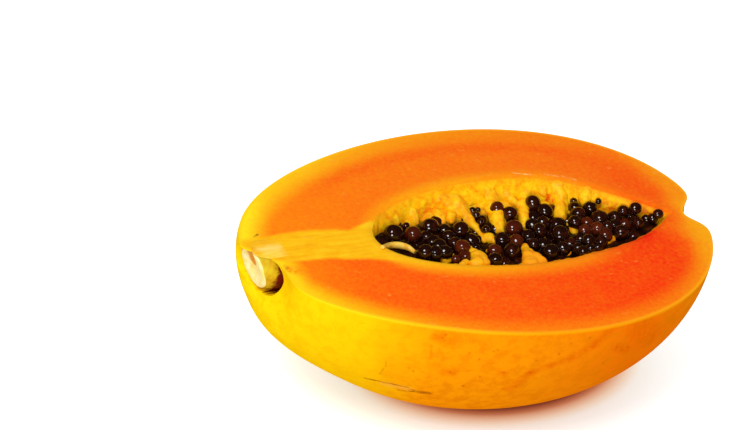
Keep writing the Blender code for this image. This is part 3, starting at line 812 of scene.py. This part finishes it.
rows, columns = BED_GRID
share = (1 - np.cos(np.linspace(BED_TIP_ANGLE, np.pi - BED_TIP_ANGLE, rows))) / 2
middle, half_width = hollow_outline(share)
bed_x = HOLLOW_START + share * (HOLLOW_END - HOLLOW_START)
top = []
for x_here, middle_here, half_here in zip(bed_x, middle, half_width):
    floor_here = BED_FLOOR_SHARE * HOLLOW_DEPTH * half_here / HOLLOW_HALF_WIDTH
    for step in np.linspace(-1, 1, columns):
        height = BED_TRIES_FROM
        for _ in range(BED_TRIES):
            width = hollow_width_at(half_here, min(-height, floor_here))
            height = bed_height(x_here, middle_here + step * width)
        top.append((x_here, middle_here + step * (width + BED_INTO_WALL), height))
top = np.array(top)
top[:, 2] += BED_RELIEF * lumps(top, BED_LUMP, 2) - BED_LOWER
bottom = top - (0, 0, BED_THICK)
top_index = np.arange(rows * columns).reshape(rows, columns)
bottom_index = top_index + rows * columns


def slab_faces(upper, lower):
    """A closed slab between two grids of points."""
    faces = [quads(upper, False), quads(lower, False)[:, ::-1]]
    for edge in (np.s_[0], np.s_[:, -1], np.s_[-1, ::-1], np.s_[::-1, 0]):
        a, b = upper[edge], lower[edge]
        faces.append(np.stack([a[1:], a[:-1], b[:-1], b[1:]], -1))
    return np.vstack(faces)


bed = mesh_piece("seed_bed", np.vstack([top, bottom]), slab_faces(top_index, bottom_index).tolist())
far_side = np.linspace(-1, 1, columns)[None, :] * smooth_step(*BED_YELLOW_SHARE, share)[:, None]
give(bed, "beside", np.tile(smooth_step(BED_YELLOW_FROM, 1.0, far_side).ravel(), 2))
face_outwards(bed)
wet_pulp_and_shade, tree, shader = new_material("dark wet pulp and painted shade", roughness=0.35, specular=0.2)
place, *_ = fruit_place(tree)
# Near black: partly the dark of pulp and seeds, partly painted shade deep among the seeds
dark = ramp(tree, grain(tree, place, size=5.0), *BED_DARK_AND_SHADE)
beside_wall = plus(tree, attribute(tree, "beside"), about(tree, grain(tree, place, size=4.0), 1.6))
dark = mix(tree, between(tree, beside_wall, 0.3, 0.9), dark, effect(tree, pulp_effect, place)["Color"])
for from_pixel, to_pixel in BED_RED:
    ends = (Vector(seen_in_hollow(*pixel)) - to_fruit for pixel in (from_pixel, to_pixel))
    red = times(tree, between_places(tree, place, *ends, *BED_RED_SIZE), BED_RED_AMOUNT)
    dark = mix(tree, red, dark, ramp(tree, grain(tree, place, size=3.0), *BED_RED_COLOURS))
tree.links.new(dark, shader.inputs["Base Color"])
bed.data.materials.append(wet_pulp_and_shade)

# The seeds
# Round black seeds, each in a clear wet skin of its own, brown where that is thick. The ones that show
# lie where the picture has them, and others fill the gaps below them.
SEEDS_SEEN = (
    (393.6, 233.6, 18, 0), (412.4, 234.2, 16, 1), (430, 227, 17, 0), (444, 230.6, 14, 0),
    (460.3, 230, 16.5, 0), (425.8, 237.9, 15, 0), (433, 242.7, 15, 0), (447.6, 237.9, 15, 0),
    (438.5, 247.6, 16, 0), (424.5, 252.4, 15, 0), (435.5, 253.6, 14, 0), (445, 252.4, 14, 0),
    (454.8, 243.9, 14, 0), (462.7, 247.6, 15, 1), (471.8, 241.5, 15, 0), (465.2, 257.3, 14, 1),
    (456, 259.7, 9, 1), (406, 225.8, 7, 0), (485.8, 229.4, 8, 0), (496.7, 208, 13, 1),
    (509.4, 213.6, 15, 0), (513.6, 228.2, 17, 1), (533, 203.3, 15.5, 0), (545, 211.8, 16, 0),
    (533, 218.5, 15, 0), (532.4, 225.8, 14, 0), (501.5, 239.7, 15, 0), (516, 241.5, 15, 1),
    (528, 237, 15, 0), (494.8, 251.2, 14, 1), (511.8, 251.8, 16, 0), (494.8, 260.3, 15, 0),
    (533.5, 244.5, 12, 0), (543.3, 245.8, 14, 0), (550.6, 252, 16, 0), (557.2, 225.5, 17, 0),
    (542.7, 223.3, 14, 0), (539.7, 230.6, 14, 0), (475.5, 247.6, 8, 0), (560, 235, 17.5, 0),
    (574.8, 208.3, 13, 0), (590.2, 208.3, 14, 0), (577.4, 214.6, 15, 0), (599, 219.1, 18, 0),
    (574.8, 222.3, 14, 0), (586.3, 223.6, 14, 1), (585, 231.2, 14, 1), (596.5, 228.7, 14, 1),
    (581.2, 239.5, 14, 0), (588.9, 241.4, 14, 0), (571, 245.3, 15, 0), (563.4, 249, 14, 0),
    (577.4, 249, 13, 0), (601, 242.7, 13, 0), (605.5, 235, 14, 1), (620.8, 232.5, 15, 0),
    (614.4, 226, 14, 0), (614.4, 217.2, 14, 0), (623.3, 210.8, 12, 0), (635.4, 208.3, 12, 0),
    (631, 217.8, 13, 0), (624.6, 224.8, 13, 1), (634.8, 221, 12, 0), (638.6, 223.6, 11, 0),
    (646.3, 219.1, 11, 0), (652.7, 218.5, 10, 0), (658, 214, 10, 0), (573.6, 201.3, 8, 0),
    (598.4, 201.3, 6, 0), (608, 227.4, 12, 0), (472.8, 210.5, 7, 0), (477.6, 210, 6, 0), (476, 215, 8, 0),
    (480.5, 222, 7, 0), (485, 228.5, 7, 0), (583, 252, 12, 0), (590, 249, 11, 0), (598, 247.5, 10, 0),
)
PIXELS_PER_MM = 2.62
SEED_RADIUS = 2.95
SEED_SPACING, SEED_ROW, SEED_SHIFT = 5.9, 5.2, 0.9
SEED_SIDES, SEED_RINGS = 22, 14
SEED_TOUCH, SEED_OUT, SEED_LIFT, SEED_SLIDE = 0.9, 2.5, 0.75, 0.25
SEED_FORM, SEED_LEAN = (1.1, 1.0, 0.96), 0.8
SEED_DENT, SEED_DENT_SIZE, SEED_DENT_SHIFT = 0.03, 0.8, 3.7
FILL_DOWN, FILL_CLEAR, FILL_SIZE, FILL_ROOM = 1.8, 6.5, (0.85, 1.0), 0.8
PUSH_OWN, PUSH_OTHER, PUSH_ALONE = 0.5, 0.4, 0.9
BROWN_SEEN, BROWN_VARIES, BROWN_FILL = 0.6, 0.3, 0.5
SLIDE_ROUNDS, FILL_ROUNDS = 30, 12
SEED_COLOURS = ((0.1, (30, 6, 0)), (0.4, (58, 14, 1)), (0.75, (78, 22, 2)), (1.0, (94, 32, 4)))
COAT_IOR, COAT_ROUGH = 1.6, 0.04
draw = random.Random(7)

seeds, rays_to = [], []
for seen_x, seen_y, wide, brown in SEEDS_SEEN:
    radius = wide / 2 / PIXELS_PER_MM
    here = Vector(seen_in_hollow(seen_x, seen_y))
    rays_to.append(-view_ray(seen_x, seen_y).normalized())
    browned = BROWN_SEEN * brown + draw.uniform(0, BROWN_VARIES)
    seeds.append([here + rays_to[-1] * radius * SEED_LIFT, radius, browned])
# Seeds that overlap in the picture lie one over the other, so each slides along the line of sight only
out_by = [0.0] * len(seeds)
for _ in range(SLIDE_ROUNDS):
    for a in range(len(seeds)):
        for b in range(a + 1, len(seeds)):
            apart = seeds[b][0] - seeds[a][0]
            reach = SEED_TOUCH * (seeds[a][1] + seeds[b][1])
            if apart.length < reach:
                deep = apart.dot(rays_to[a])
                beside = max(apart.length_squared - deep * deep, 0.0)
                slide = SEED_SLIDE * (math.sqrt(reach * reach - beside) - abs(deep))
                slide *= 1 if deep > 0 else -1
                for one, way in ((a, -slide), (b, slide)):
                    way = min(max(out_by[one] + way, -SEED_OUT), SEED_OUT) - out_by[one]
                    out_by[one] += way
                    seeds[one][0] += rays_to[one] * way
seen_count = len(seeds)
for row in range(round(2 * HOLLOW_HALF_WIDTH / SEED_ROW) + 1):
    for column in range(round((HOLLOW_END - HOLLOW_START) / SEED_SPACING) + 1):
        x_here = HOLLOW_START + (column + 0.5 * (row % 2)) * SEED_SPACING + draw.uniform(-1, 1) * SEED_SHIFT
        y_here = HOLLOW_MIDDLE - HOLLOW_HALF_WIDTH + row * SEED_ROW + draw.uniform(-1, 1) * SEED_SHIFT
        radius = SEED_RADIUS * draw.uniform(*FILL_SIZE)
        height = float(bed_height(x_here, y_here)) - FILL_DOWN
        brown = draw.uniform(0, BROWN_FILL)
        near = min((Vector((x_here, y_here, height)) - seed[0]).length for seed in seeds[:seen_count])
        if room_beside(x_here, y_here, height) > radius * FILL_ROOM and near < FILL_CLEAR:
            seeds.append([Vector((x_here, y_here, height)), radius, brown])
for _ in range(FILL_ROUNDS):
    for a in range(len(seeds)):
        for b in range(max(a + 1, seen_count), len(seeds)):
            apart = seeds[b][0] - seeds[a][0]
            short = SEED_TOUCH * (seeds[a][1] + seeds[b][1]) - apart.length
            if short > 0:
                push = apart.normalized() * short
                push.z = min(push.z, 0.0)
                seeds[b][0] += push * (PUSH_OWN if a >= seen_count else PUSH_ALONE)
                if a >= seen_count:
                    seeds[a][0] -= push * PUSH_OTHER

angles = np.linspace(0, 2 * np.pi, SEED_SIDES, endpoint=False)
heights = np.linspace(0, np.pi, SEED_RINGS + 1)[1:-1]
rings = [(math.sin(h) * math.cos(a), math.sin(h) * math.sin(a), math.cos(h))
         for h in heights for a in angles]
ball = np.array([(0, 0, 1), *rings, (0, 0, -1)])
ball_faces = []
for side in range(SEED_SIDES):
    after = (side + 1) % SEED_SIDES
    ball_faces.append((0, 1 + side, 1 + after))
    for ring in range(SEED_RINGS - 2):
        low = 1 + ring * SEED_SIDES
        ball_faces.append((low + side, low + SEED_SIDES + side, low + SEED_SIDES + after, low + after))
    low = 1 + (SEED_RINGS - 2) * SEED_SIDES
    ball_faces.append((low + side, len(ball) - 1, low + after))


def piece_of_balls(name, balls):
    """A piece made of closed balls, each given by its points."""
    firsts = range(0, len(ball) * len(balls), len(ball))
    faces = [tuple(first + corner for corner in face) for first in firsts for face in ball_faces]
    return mesh_piece(name, np.vstack(balls), faces)


seed_balls, brown_of = [], []
for count, (centre, radius, brown) in enumerate(seeds):
    turn = Matrix.Rotation(draw.uniform(0, math.pi), 3, "Z")
    turn = turn @ Matrix.Rotation(draw.uniform(-SEED_LEAN, SEED_LEAN), 3, "Y")
    shape = np.array(turn) @ np.diag(SEED_FORM) * radius
    dents = 1 + SEED_DENT * lumps(ball + count * SEED_DENT_SHIFT, SEED_DENT_SIZE)
    seed_balls.append((ball * dents[:, None]) @ shape.T + np.array(centre))
    brown_of += [brown] * len(ball)
seed_piece = piece_of_balls("papaya_seeds", seed_balls)
give(seed_piece, "brown", brown_of)
seed_piece.data.shade_smooth()
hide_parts("seed_heap")

black, tree, shader = new_material("wet black seed", roughness=0.45, specular=0.03)
place, *_ = fruit_place(tree)
stains = grain(tree, place, size=1.8, detail=3.0, roughness=0.6)
browning = plus(tree, attribute(tree, "brown"), about(tree, stains, 1.3))
tree.links.new(ramp(tree, browning, *SEED_COLOURS), shader.inputs["Base Color"])
shader.inputs["Coat Weight"].default_value = 1.0
shader.inputs["Coat IOR"].default_value = COAT_IOR
shader.inputs["Coat Roughness"].default_value = COAT_ROUGH
bumped(tree, shader, grain(tree, place, size=0.9, detail=3.0, roughness=0.7), strength=0.4, distance=0.0005)
ripples = grain(tree, place, size=1.3, detail=1.0)
bumped(tree, shader, ripples, strength=0.2, distance=0.0005, socket_name="Coat Normal")
seed_piece.data.materials.append(black)

# The pulp
# Soft yellow flesh that the seeds hung from: tongues that run down the far wall between them, and torn bits
# among them. Balls along each strand are grown together into one skin, then roughened.
PULP_STRANDS = (
    ((440, 199, 2.4), (452, 203, 3.5), (460, 210, 3.2), (469, 221, 2.2), (478, 232, 1.3), (484, 241, 0.9)),
    ((488, 193, 3.2), (490, 205, 3.4), (495, 215, 3.4), (498, 224, 3.0), (500, 231, 2.0)),
    ((524, 194, 3.0), (523, 205, 2.6), (523, 216, 2.1), (524, 227, 1.4)),
    ((556, 186, 3.0), (560, 197, 3.4), (560, 208, 3.1), (559, 219, 2.2)),
    ((541, 188.5, 2.4), (544, 193.5, 1.6)),
    ((586, 190, 2.8), (584, 198, 2.4), (583, 203, 1.4)),
    ((434.5, 213.5, 2.0), (438, 216, 2.0), (441, 219.5, 1.7), (443, 224, 1.0)),
    ((450, 208, 2.4), (451, 216, 1.8), (452, 222, 1.1)),
    ((411, 212, 2.4), (414, 218, 1.8), (417, 223, 1.0)),
    ((392, 219, 2.2), (396, 223, 1.4)),
    ((507, 194, 2.6), (512, 200, 2.2), (516, 205, 1.3)),
    ((482, 236, 1.2), (489, 239, 2.0), (494, 243, 1.6)),
    ((540, 233, 1.3), (541, 238, 1.6)),
    ((566, 227, 1.4), (573, 231, 2.0)),
    ((444, 260, 1.8), (450, 258, 2.0)),
    ((487.5, 250.5, 1.1), (492, 251.5, 1.1)),
    ((561, 250, 1.3), (567, 253, 1.3)),
    ((606, 244, 1.2), (611, 239, 1.5)),
)
# Torn wedges that stand up out of the near wall between the seeds: (x, y, radius, depth under the cut)
PULP_WEDGES = (
    ((471, 248, 0.7, 5.5), (473.5, 254, 1.7, 4.6), (477, 260, 2.5, 4.0), (477.5, 266, 3.0, 3.6)),
    ((472, 252, 1.0, 5.0), (479, 258, 2.4, 4.4), (484, 264, 2.6, 3.6)),
    ((524.5, 246, 0.8, 5.5), (527, 252, 1.8, 4.6), (530, 259, 2.9, 4.0), (531, 266, 3.3, 3.8)),
    ((526, 250, 1.4, 5.0), (533, 257, 2.4, 4.4), (539, 264, 2.8, 3.8)),
    ((462, 264.5, 1.5, 2.6), (465.5, 262, 1.2, 3.0)),
)
PULP_VOXEL = 0.45
PULP_PROUD, PULP_BALLS, PULP_FLUSH_BALLS = 1.7, 9, 13
PULP_SMOOTHING, PULP_BUMPS = 3, ((0.8, 4.0), (0.35, 1.7))
PULP_SINK_LEAST, PULP_UNDER_CUT = 0.3, 0.15
PULP_ORANGE = ((0.37, (252, 184, 8)), (0.45, (252, 172, 5)), (0.6, (252, 150, 5)), (0.75, (250, 110, 3)))

balls = []
for strand in PULP_STRANDS:
    first_ball = len(balls)
    for (x_a, y_a, radius_a), (x_b, y_b, radius_b) in zip(strand, strand[1:]):
        for step in np.linspace(0, 1, PULP_BALLS):
            seen_x, seen_y = x_a + (x_b - x_a) * step, y_a + (y_b - y_a) * step
            radius = radius_a + (radius_b - radius_a) * step
            here = Vector(seen_in_hollow(seen_x, seen_y))
            out = PULP_PROUD * min((len(balls) - first_ball) / PULP_FLUSH_BALLS, 1.0)
            sink = max(radius - out, PULP_SINK_LEAST * radius)
            centre = here + view_ray(seen_x, seen_y).normalized() * sink
            balls.append(ball * radius + np.array(centre))
for wedge in PULP_WEDGES:
    for near, far_end in zip(wedge, wedge[1:]):
        for step in np.linspace(0, 1, PULP_BALLS):
            seen_x, seen_y, radius, depth = (a + (b - a) * step for a, b in zip(near, far_end))
            centre = Vector(seen_at_height(seen_x, seen_y, -depth))
            balls.append(ball * radius + np.array(centre))
pulp = piece_of_balls("papaya_pulp", balls)
remesh = pulp.modifiers.new("one skin", "REMESH")
remesh.mode = "VOXEL"
remesh.voxel_size = PULP_VOXEL * MM
whole = bpy.data.meshes.new_from_object(pulp.evaluated_get(bpy.context.evaluated_depsgraph_get()))
pulp.modifiers.clear()
pulp.data = whole
bm = bmesh.new()
bm.from_mesh(whole)
for _ in range(PULP_SMOOTHING):
    bmesh.ops.smooth_vert(bm, verts=bm.verts, factor=0.5, use_axis_x=True, use_axis_y=True, use_axis_z=True)
bm.normal_update()
for vertex in bm.verts:
    at = vertex.co / MM
    rough = sum(height * noise.noise(at / size) for height, size in PULP_BUMPS)
    vertex.co += vertex.normal * rough * MM
    vertex.co.z = min(vertex.co.z, (CUT_HEIGHT - PULP_UNDER_CUT) * MM)
bm.to_mesh(whole)
bm.free()
whole.shade_smooth()

soft, tree, shader = new_material("yellow pulp", roughness=0.4, specular=0.15)
place, place_x, place_y, place_z = fruit_place(tree)
made = effect(tree, pulp_effect, place)
by_front = between(tree, place_y, -14.0, -8.0, 0.8, 0.0)
orange = ramp(tree, share_along(tree, place_x), *PULP_ORANGE)
tree.links.new(mix(tree, by_front, made["Color"], orange), shader.inputs["Base Color"])
bumped(tree, shader, made["Height"], strength=0.2)
pulp.data.materials.append(soft)

# An empty seed skin, pale and curled, lies at the stalk end of the hollow
CURL = ((382.5, 247), (387, 245.8), (393, 245), (399, 245.2), (405, 246.4), (410.5, 248.8), (415, 252.4))
CURL_RADIUS, CURL_HEIGHT = 1.3, 1.8
CURL_COLOURS = ((0.35, (240, 174, 34)), (0.6, (255, 212, 88)))
curl_line = bpy.data.curves.new("seed skin line", "CURVE")
curl_line.dimensions = "3D"
curl_line.bevel_depth = CURL_RADIUS * MM
curl_line.bevel_resolution = 4
curl_line.resolution_u = 8
curl_line.use_fill_caps = True
spline = curl_line.splines.new("NURBS")
spline.points.add(len(CURL) - 1)
spline.use_endpoint_u = True
spline.order_u = 3
for count, (point, (seen_x, seen_y)) in enumerate(zip(spline.points, CURL)):
    here = Vector(seen_in_hollow(seen_x, seen_y)) - view_ray(seen_x, seen_y).normalized() * CURL_HEIGHT
    point.co = (*to_world(here), 1.0)
    point.radius = 0.35 + 0.65 * math.sin(math.pi * (count + 0.6) / (len(CURL) + 0.2))
bent = bpy.data.objects.new("seed skin line", curl_line)
bpy.context.scene.collection.objects.link(bent)
curl_mesh = bpy.data.meshes.new_from_object(bent.evaluated_get(bpy.context.evaluated_depsgraph_get()))
bpy.data.objects.remove(bent)
curl = bpy.data.objects.new("papaya_seed_skin", curl_mesh)
bpy.context.scene.collection.objects.link(curl)
curl_mesh.shade_smooth()
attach(curl, "root")
pale, tree, shader = new_material("pale seed skin", roughness=0.3, specular=0.3)
place, *_ = fruit_place(tree)
tree.links.new(ramp(tree, grain(tree, place, size=2.0), *CURL_COLOURS), shader.inputs["Base Color"])
curl_mesh.materials.clear()
curl_mesh.materials.append(pale)

# The stump of the stalk
# Pale hard stem, broken off short and dished, with a brown slit in its end. The knife took its top off
# with the other half, so it is flat in line with the cut face.
STUMP_RADIUS, STUMP_WIDE, STUMP_LENGTH, STUMP_DROOPS_FROM = 7.9, 9.0, 12.0, 1.4
STUMP_PROFILE = (
    (0.0, 1.0), (2.4, 1.0), (4.0, 0.7), (5.6, 0.15), (6.7, 0.0), (7.4, 0.15), (7.8, 0.6), (8.2, 1.4),
    (9.0, 4.0), (9.5, 7.0), (9.7, 11.8), (9.2, 12.0), (0.0, 12.0),
)
STUMP_SIDES, STUMP_STEPS, END_PARTS = 96, 5, 6
STUMP_CUTS = (((0, 0, 0.06), (0, 0, 1)), ((0, 4.2, 0.06), (0, 0.1, 0.995)))
STUMP_WAVE, STUMP_RELIEF, STUMP_END_WAVE, STUMP_END_RELIEF = 4.0, 0.22, 2.5, 0.2
STUMP_SHARP = math.radians(40)
SLIT_LENGTH, SLIT_WIDTH, SLIT_DEPTH, SLIT_MIDDLE, SLIT_FADE = 8.0, 2.3, 0.3, (3.8, 1.2), (0.7, 1.1)
SIDE_COLOURS = ((0.3, (192, 138, 6)), (0.5, (208, 166, 10)), (0.7, (216, 186, 26)))
END_COLOURS = ((0.3, (252, 216, 104)), (0.55, (255, 234, 160)), (0.75, (255, 243, 205)))
BLEACHED_COLOURS = ((0.3, (246, 194, 44)), (0.5, (252, 208, 78)), (0.7, (254, 218, 110)))
SLIT_COLOUR, FLAT_GREEN = (224, 138, 22), (212, 200, 14)
TOP_EDGE_COLOUR, DEEP_GAP_PAINTED_SHADE = (176, 132, 10), (110, 20, 3)

stump_turn = Vector((0, 0, 1)).rotation_difference(Vector(STUMP_OUTWARDS)).to_matrix()
profile = [STUMP_PROFILE[0]]
for (r_a, t_a), (r_b, t_b) in zip(STUMP_PROFILE, STUMP_PROFILE[1:]):
    for step in range(1, STUMP_STEPS + 1):
        profile.append((r_a + (r_b - r_a) * step / STUMP_STEPS, t_a + (t_b - t_a) * step / STUMP_STEPS))
profile = np.array(profile)[1:-1]
turns = np.linspace(0, 2 * np.pi, STUMP_SIDES, endpoint=False)
ring_x = profile[:, :1] * np.cos(turns)
ring_y = profile[:, :1] * np.sin(turns)
ring_t = profile[:, 1:] + 0 * turns
up_face = np.array(stump_turn.inverted() @ Vector((0, 0, 1)))[:2]
up_face /= np.linalg.norm(up_face)
face_up = ring_x * up_face[0] + ring_y * up_face[1] - SLIT_MIDDLE[0]
face_side = -ring_x * up_face[1] + ring_y * up_face[0] - SLIT_MIDDLE[1]
is_end = np.arange(len(profile))[:, None] < END_PARTS * STUMP_STEPS + 0 * turns[None]
slit = np.exp(-((face_side / SLIT_WIDTH) ** 2)) * is_end
slit = slit * (1 - smooth_step(*SLIT_FADE, np.abs(face_up) / (SLIT_LENGTH / 2)))
ring_t = ring_t + SLIT_DEPTH * slit
local = np.stack([ring_x, ring_y, -ring_t], -1).reshape(-1, 3)
rough = STUMP_RELIEF * lumps(local + 40, STUMP_WAVE, 3)
local[:, :2] *= 1 + (rough / STUMP_WIDE)[:, None]
local[:, 2] += STUMP_END_RELIEF * lumps(local + 80, STUMP_END_WAVE, 2)
grid = np.arange(len(local)).reshape(len(profile), STUMP_SIDES)
centre_end, centre_back = len(local), len(local) + 1
local = np.vstack([local, (0, 0, -STUMP_PROFILE[0][1]), (0, 0, -STUMP_LENGTH)])
faces = quads(grid, True).tolist()
for a, b in zip(range(STUMP_SIDES), np.roll(range(STUMP_SIDES), -1)):
    faces.append((int(grid[0, b]), int(grid[0, a]), centre_end))
    faces.append((int(grid[-1, a]), int(grid[-1, b]), centre_back))
stump_points = local @ np.array(stump_turn).T + STUMP_END
stump_points[:, 2] += STUMP_DROOP * np.minimum(local[:, 2] + STUMP_DROOPS_FROM, 0)
stump = mesh_piece("papaya_stalk", stump_points, faces)
give(stump, "slit", np.append(slit.ravel(), (0, 0)))
in_end = (is_end & (profile[:, :1] < STUMP_RADIUS)).astype(float)
give(stump, "end", np.append(in_end.ravel(), (1, 0)))
bm = bmesh.new()
bm.from_mesh(stump.data)
bmesh.ops.recalc_face_normals(bm, faces=bm.faces)
# The knife's flat, and behind it a slope that dips under the flesh
for plane_at, facing in STUMP_CUTS:
    bmesh.ops.bisect_plane(bm, geom=bm.verts[:] + bm.edges[:] + bm.faces[:], plane_co=to_world(plane_at),
                           plane_no=facing, clear_outer=True)
    bmesh.ops.contextual_create(bm, geom=[line for line in bm.edges if line.is_boundary])
bm.to_mesh(stump.data)
bm.free()
stump.data.shade_smooth()
stump.data.set_sharp_from_angle(angle=STUMP_SHARP)
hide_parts("stalk_stump")

stem, tree, shader = new_material("pale stem", roughness=0.55, specular=0.15)
place, place_x, place_y, place_z = fruit_place(tree)
side_colour = ramp(tree, grain(tree, place, size=3.0, detail=4.0, roughness=0.6), *SIDE_COLOURS)
end_colour = ramp(tree, grain(tree, place, size=2.5, detail=3.0, roughness=0.6), *END_COLOURS)
streaks = grain(tree, place, size=1.8, detail=4.0, roughness=0.6, stretch=(5.0, 1.0, 1.0))
bleached = ramp(tree, streaks, *BLEACHED_COLOURS)
# How far in from the stalk end of the fruit, in mm
from_end = {"Value": place_x, "From Min": -REST_AT, "From Max": 1 - REST_AT}
inwards = add(tree, "MapRange", from_end, clamp=False).outputs[0]
uneven = grain(tree, place, size=3.5, detail=4.0, roughness=0.6)
inwards = plus(tree, inwards, about(tree, uneven, 7.0))
across = plus(tree, place_y, about(tree, grain(tree, place, size=3.0), 3.0))
bleach = times(tree, between(tree, inwards, 3.0, 7.0), between(tree, inwards, 11.5, 16.0, 1.0, 0.0))
bleach = times(tree, bleach, between(tree, across, 2.5, 5.5, 1.0, 0.0))
flat_colour = mix(tree, bleach, effect(tree, fibre_effect, place)["Color"], bleached)
green = times(tree, between(tree, inwards, 0.5, 5.5, 1.0, 0.0), between(tree, place_y, 1.0, 6.0))
flat_colour = tinted(tree, flat_colour, green, 0.75, FLAT_GREEN)
on_top = between(tree, place_z, CUT_HEIGHT - 0.25, CUT_HEIGHT - 0.1)
not_on_top = number(tree, "SUBTRACT", 1.0, on_top)
top_edge = times(tree, between(tree, place_z, CUT_HEIGHT - 0.7, CUT_HEIGHT - 0.35), not_on_top)
stem_colour = mix(tree, attribute(tree, "end"), side_colour, end_colour)
in_slit = between(tree, attribute(tree, "slit"), 0.15, 0.75)
stem_colour = mix(tree, in_slit, stem_colour, colour(*SLIT_COLOUR))
stem_colour = tinted(tree, stem_colour, top_edge, 0.6, TOP_EDGE_COLOUR)
stem_colour = mix(tree, on_top, stem_colour, flat_colour)
# Painted shade on the stump's side where it lies deep in the gap, below the flat top
stem_colour = tinted(tree, stem_colour, between(tree, inwards, 9.1, 11.4), not_on_top, DEEP_GAP_PAINTED_SHADE)
tree.links.new(stem_colour, shader.inputs["Base Color"])
stump.data.materials.append(stem)

low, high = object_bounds()
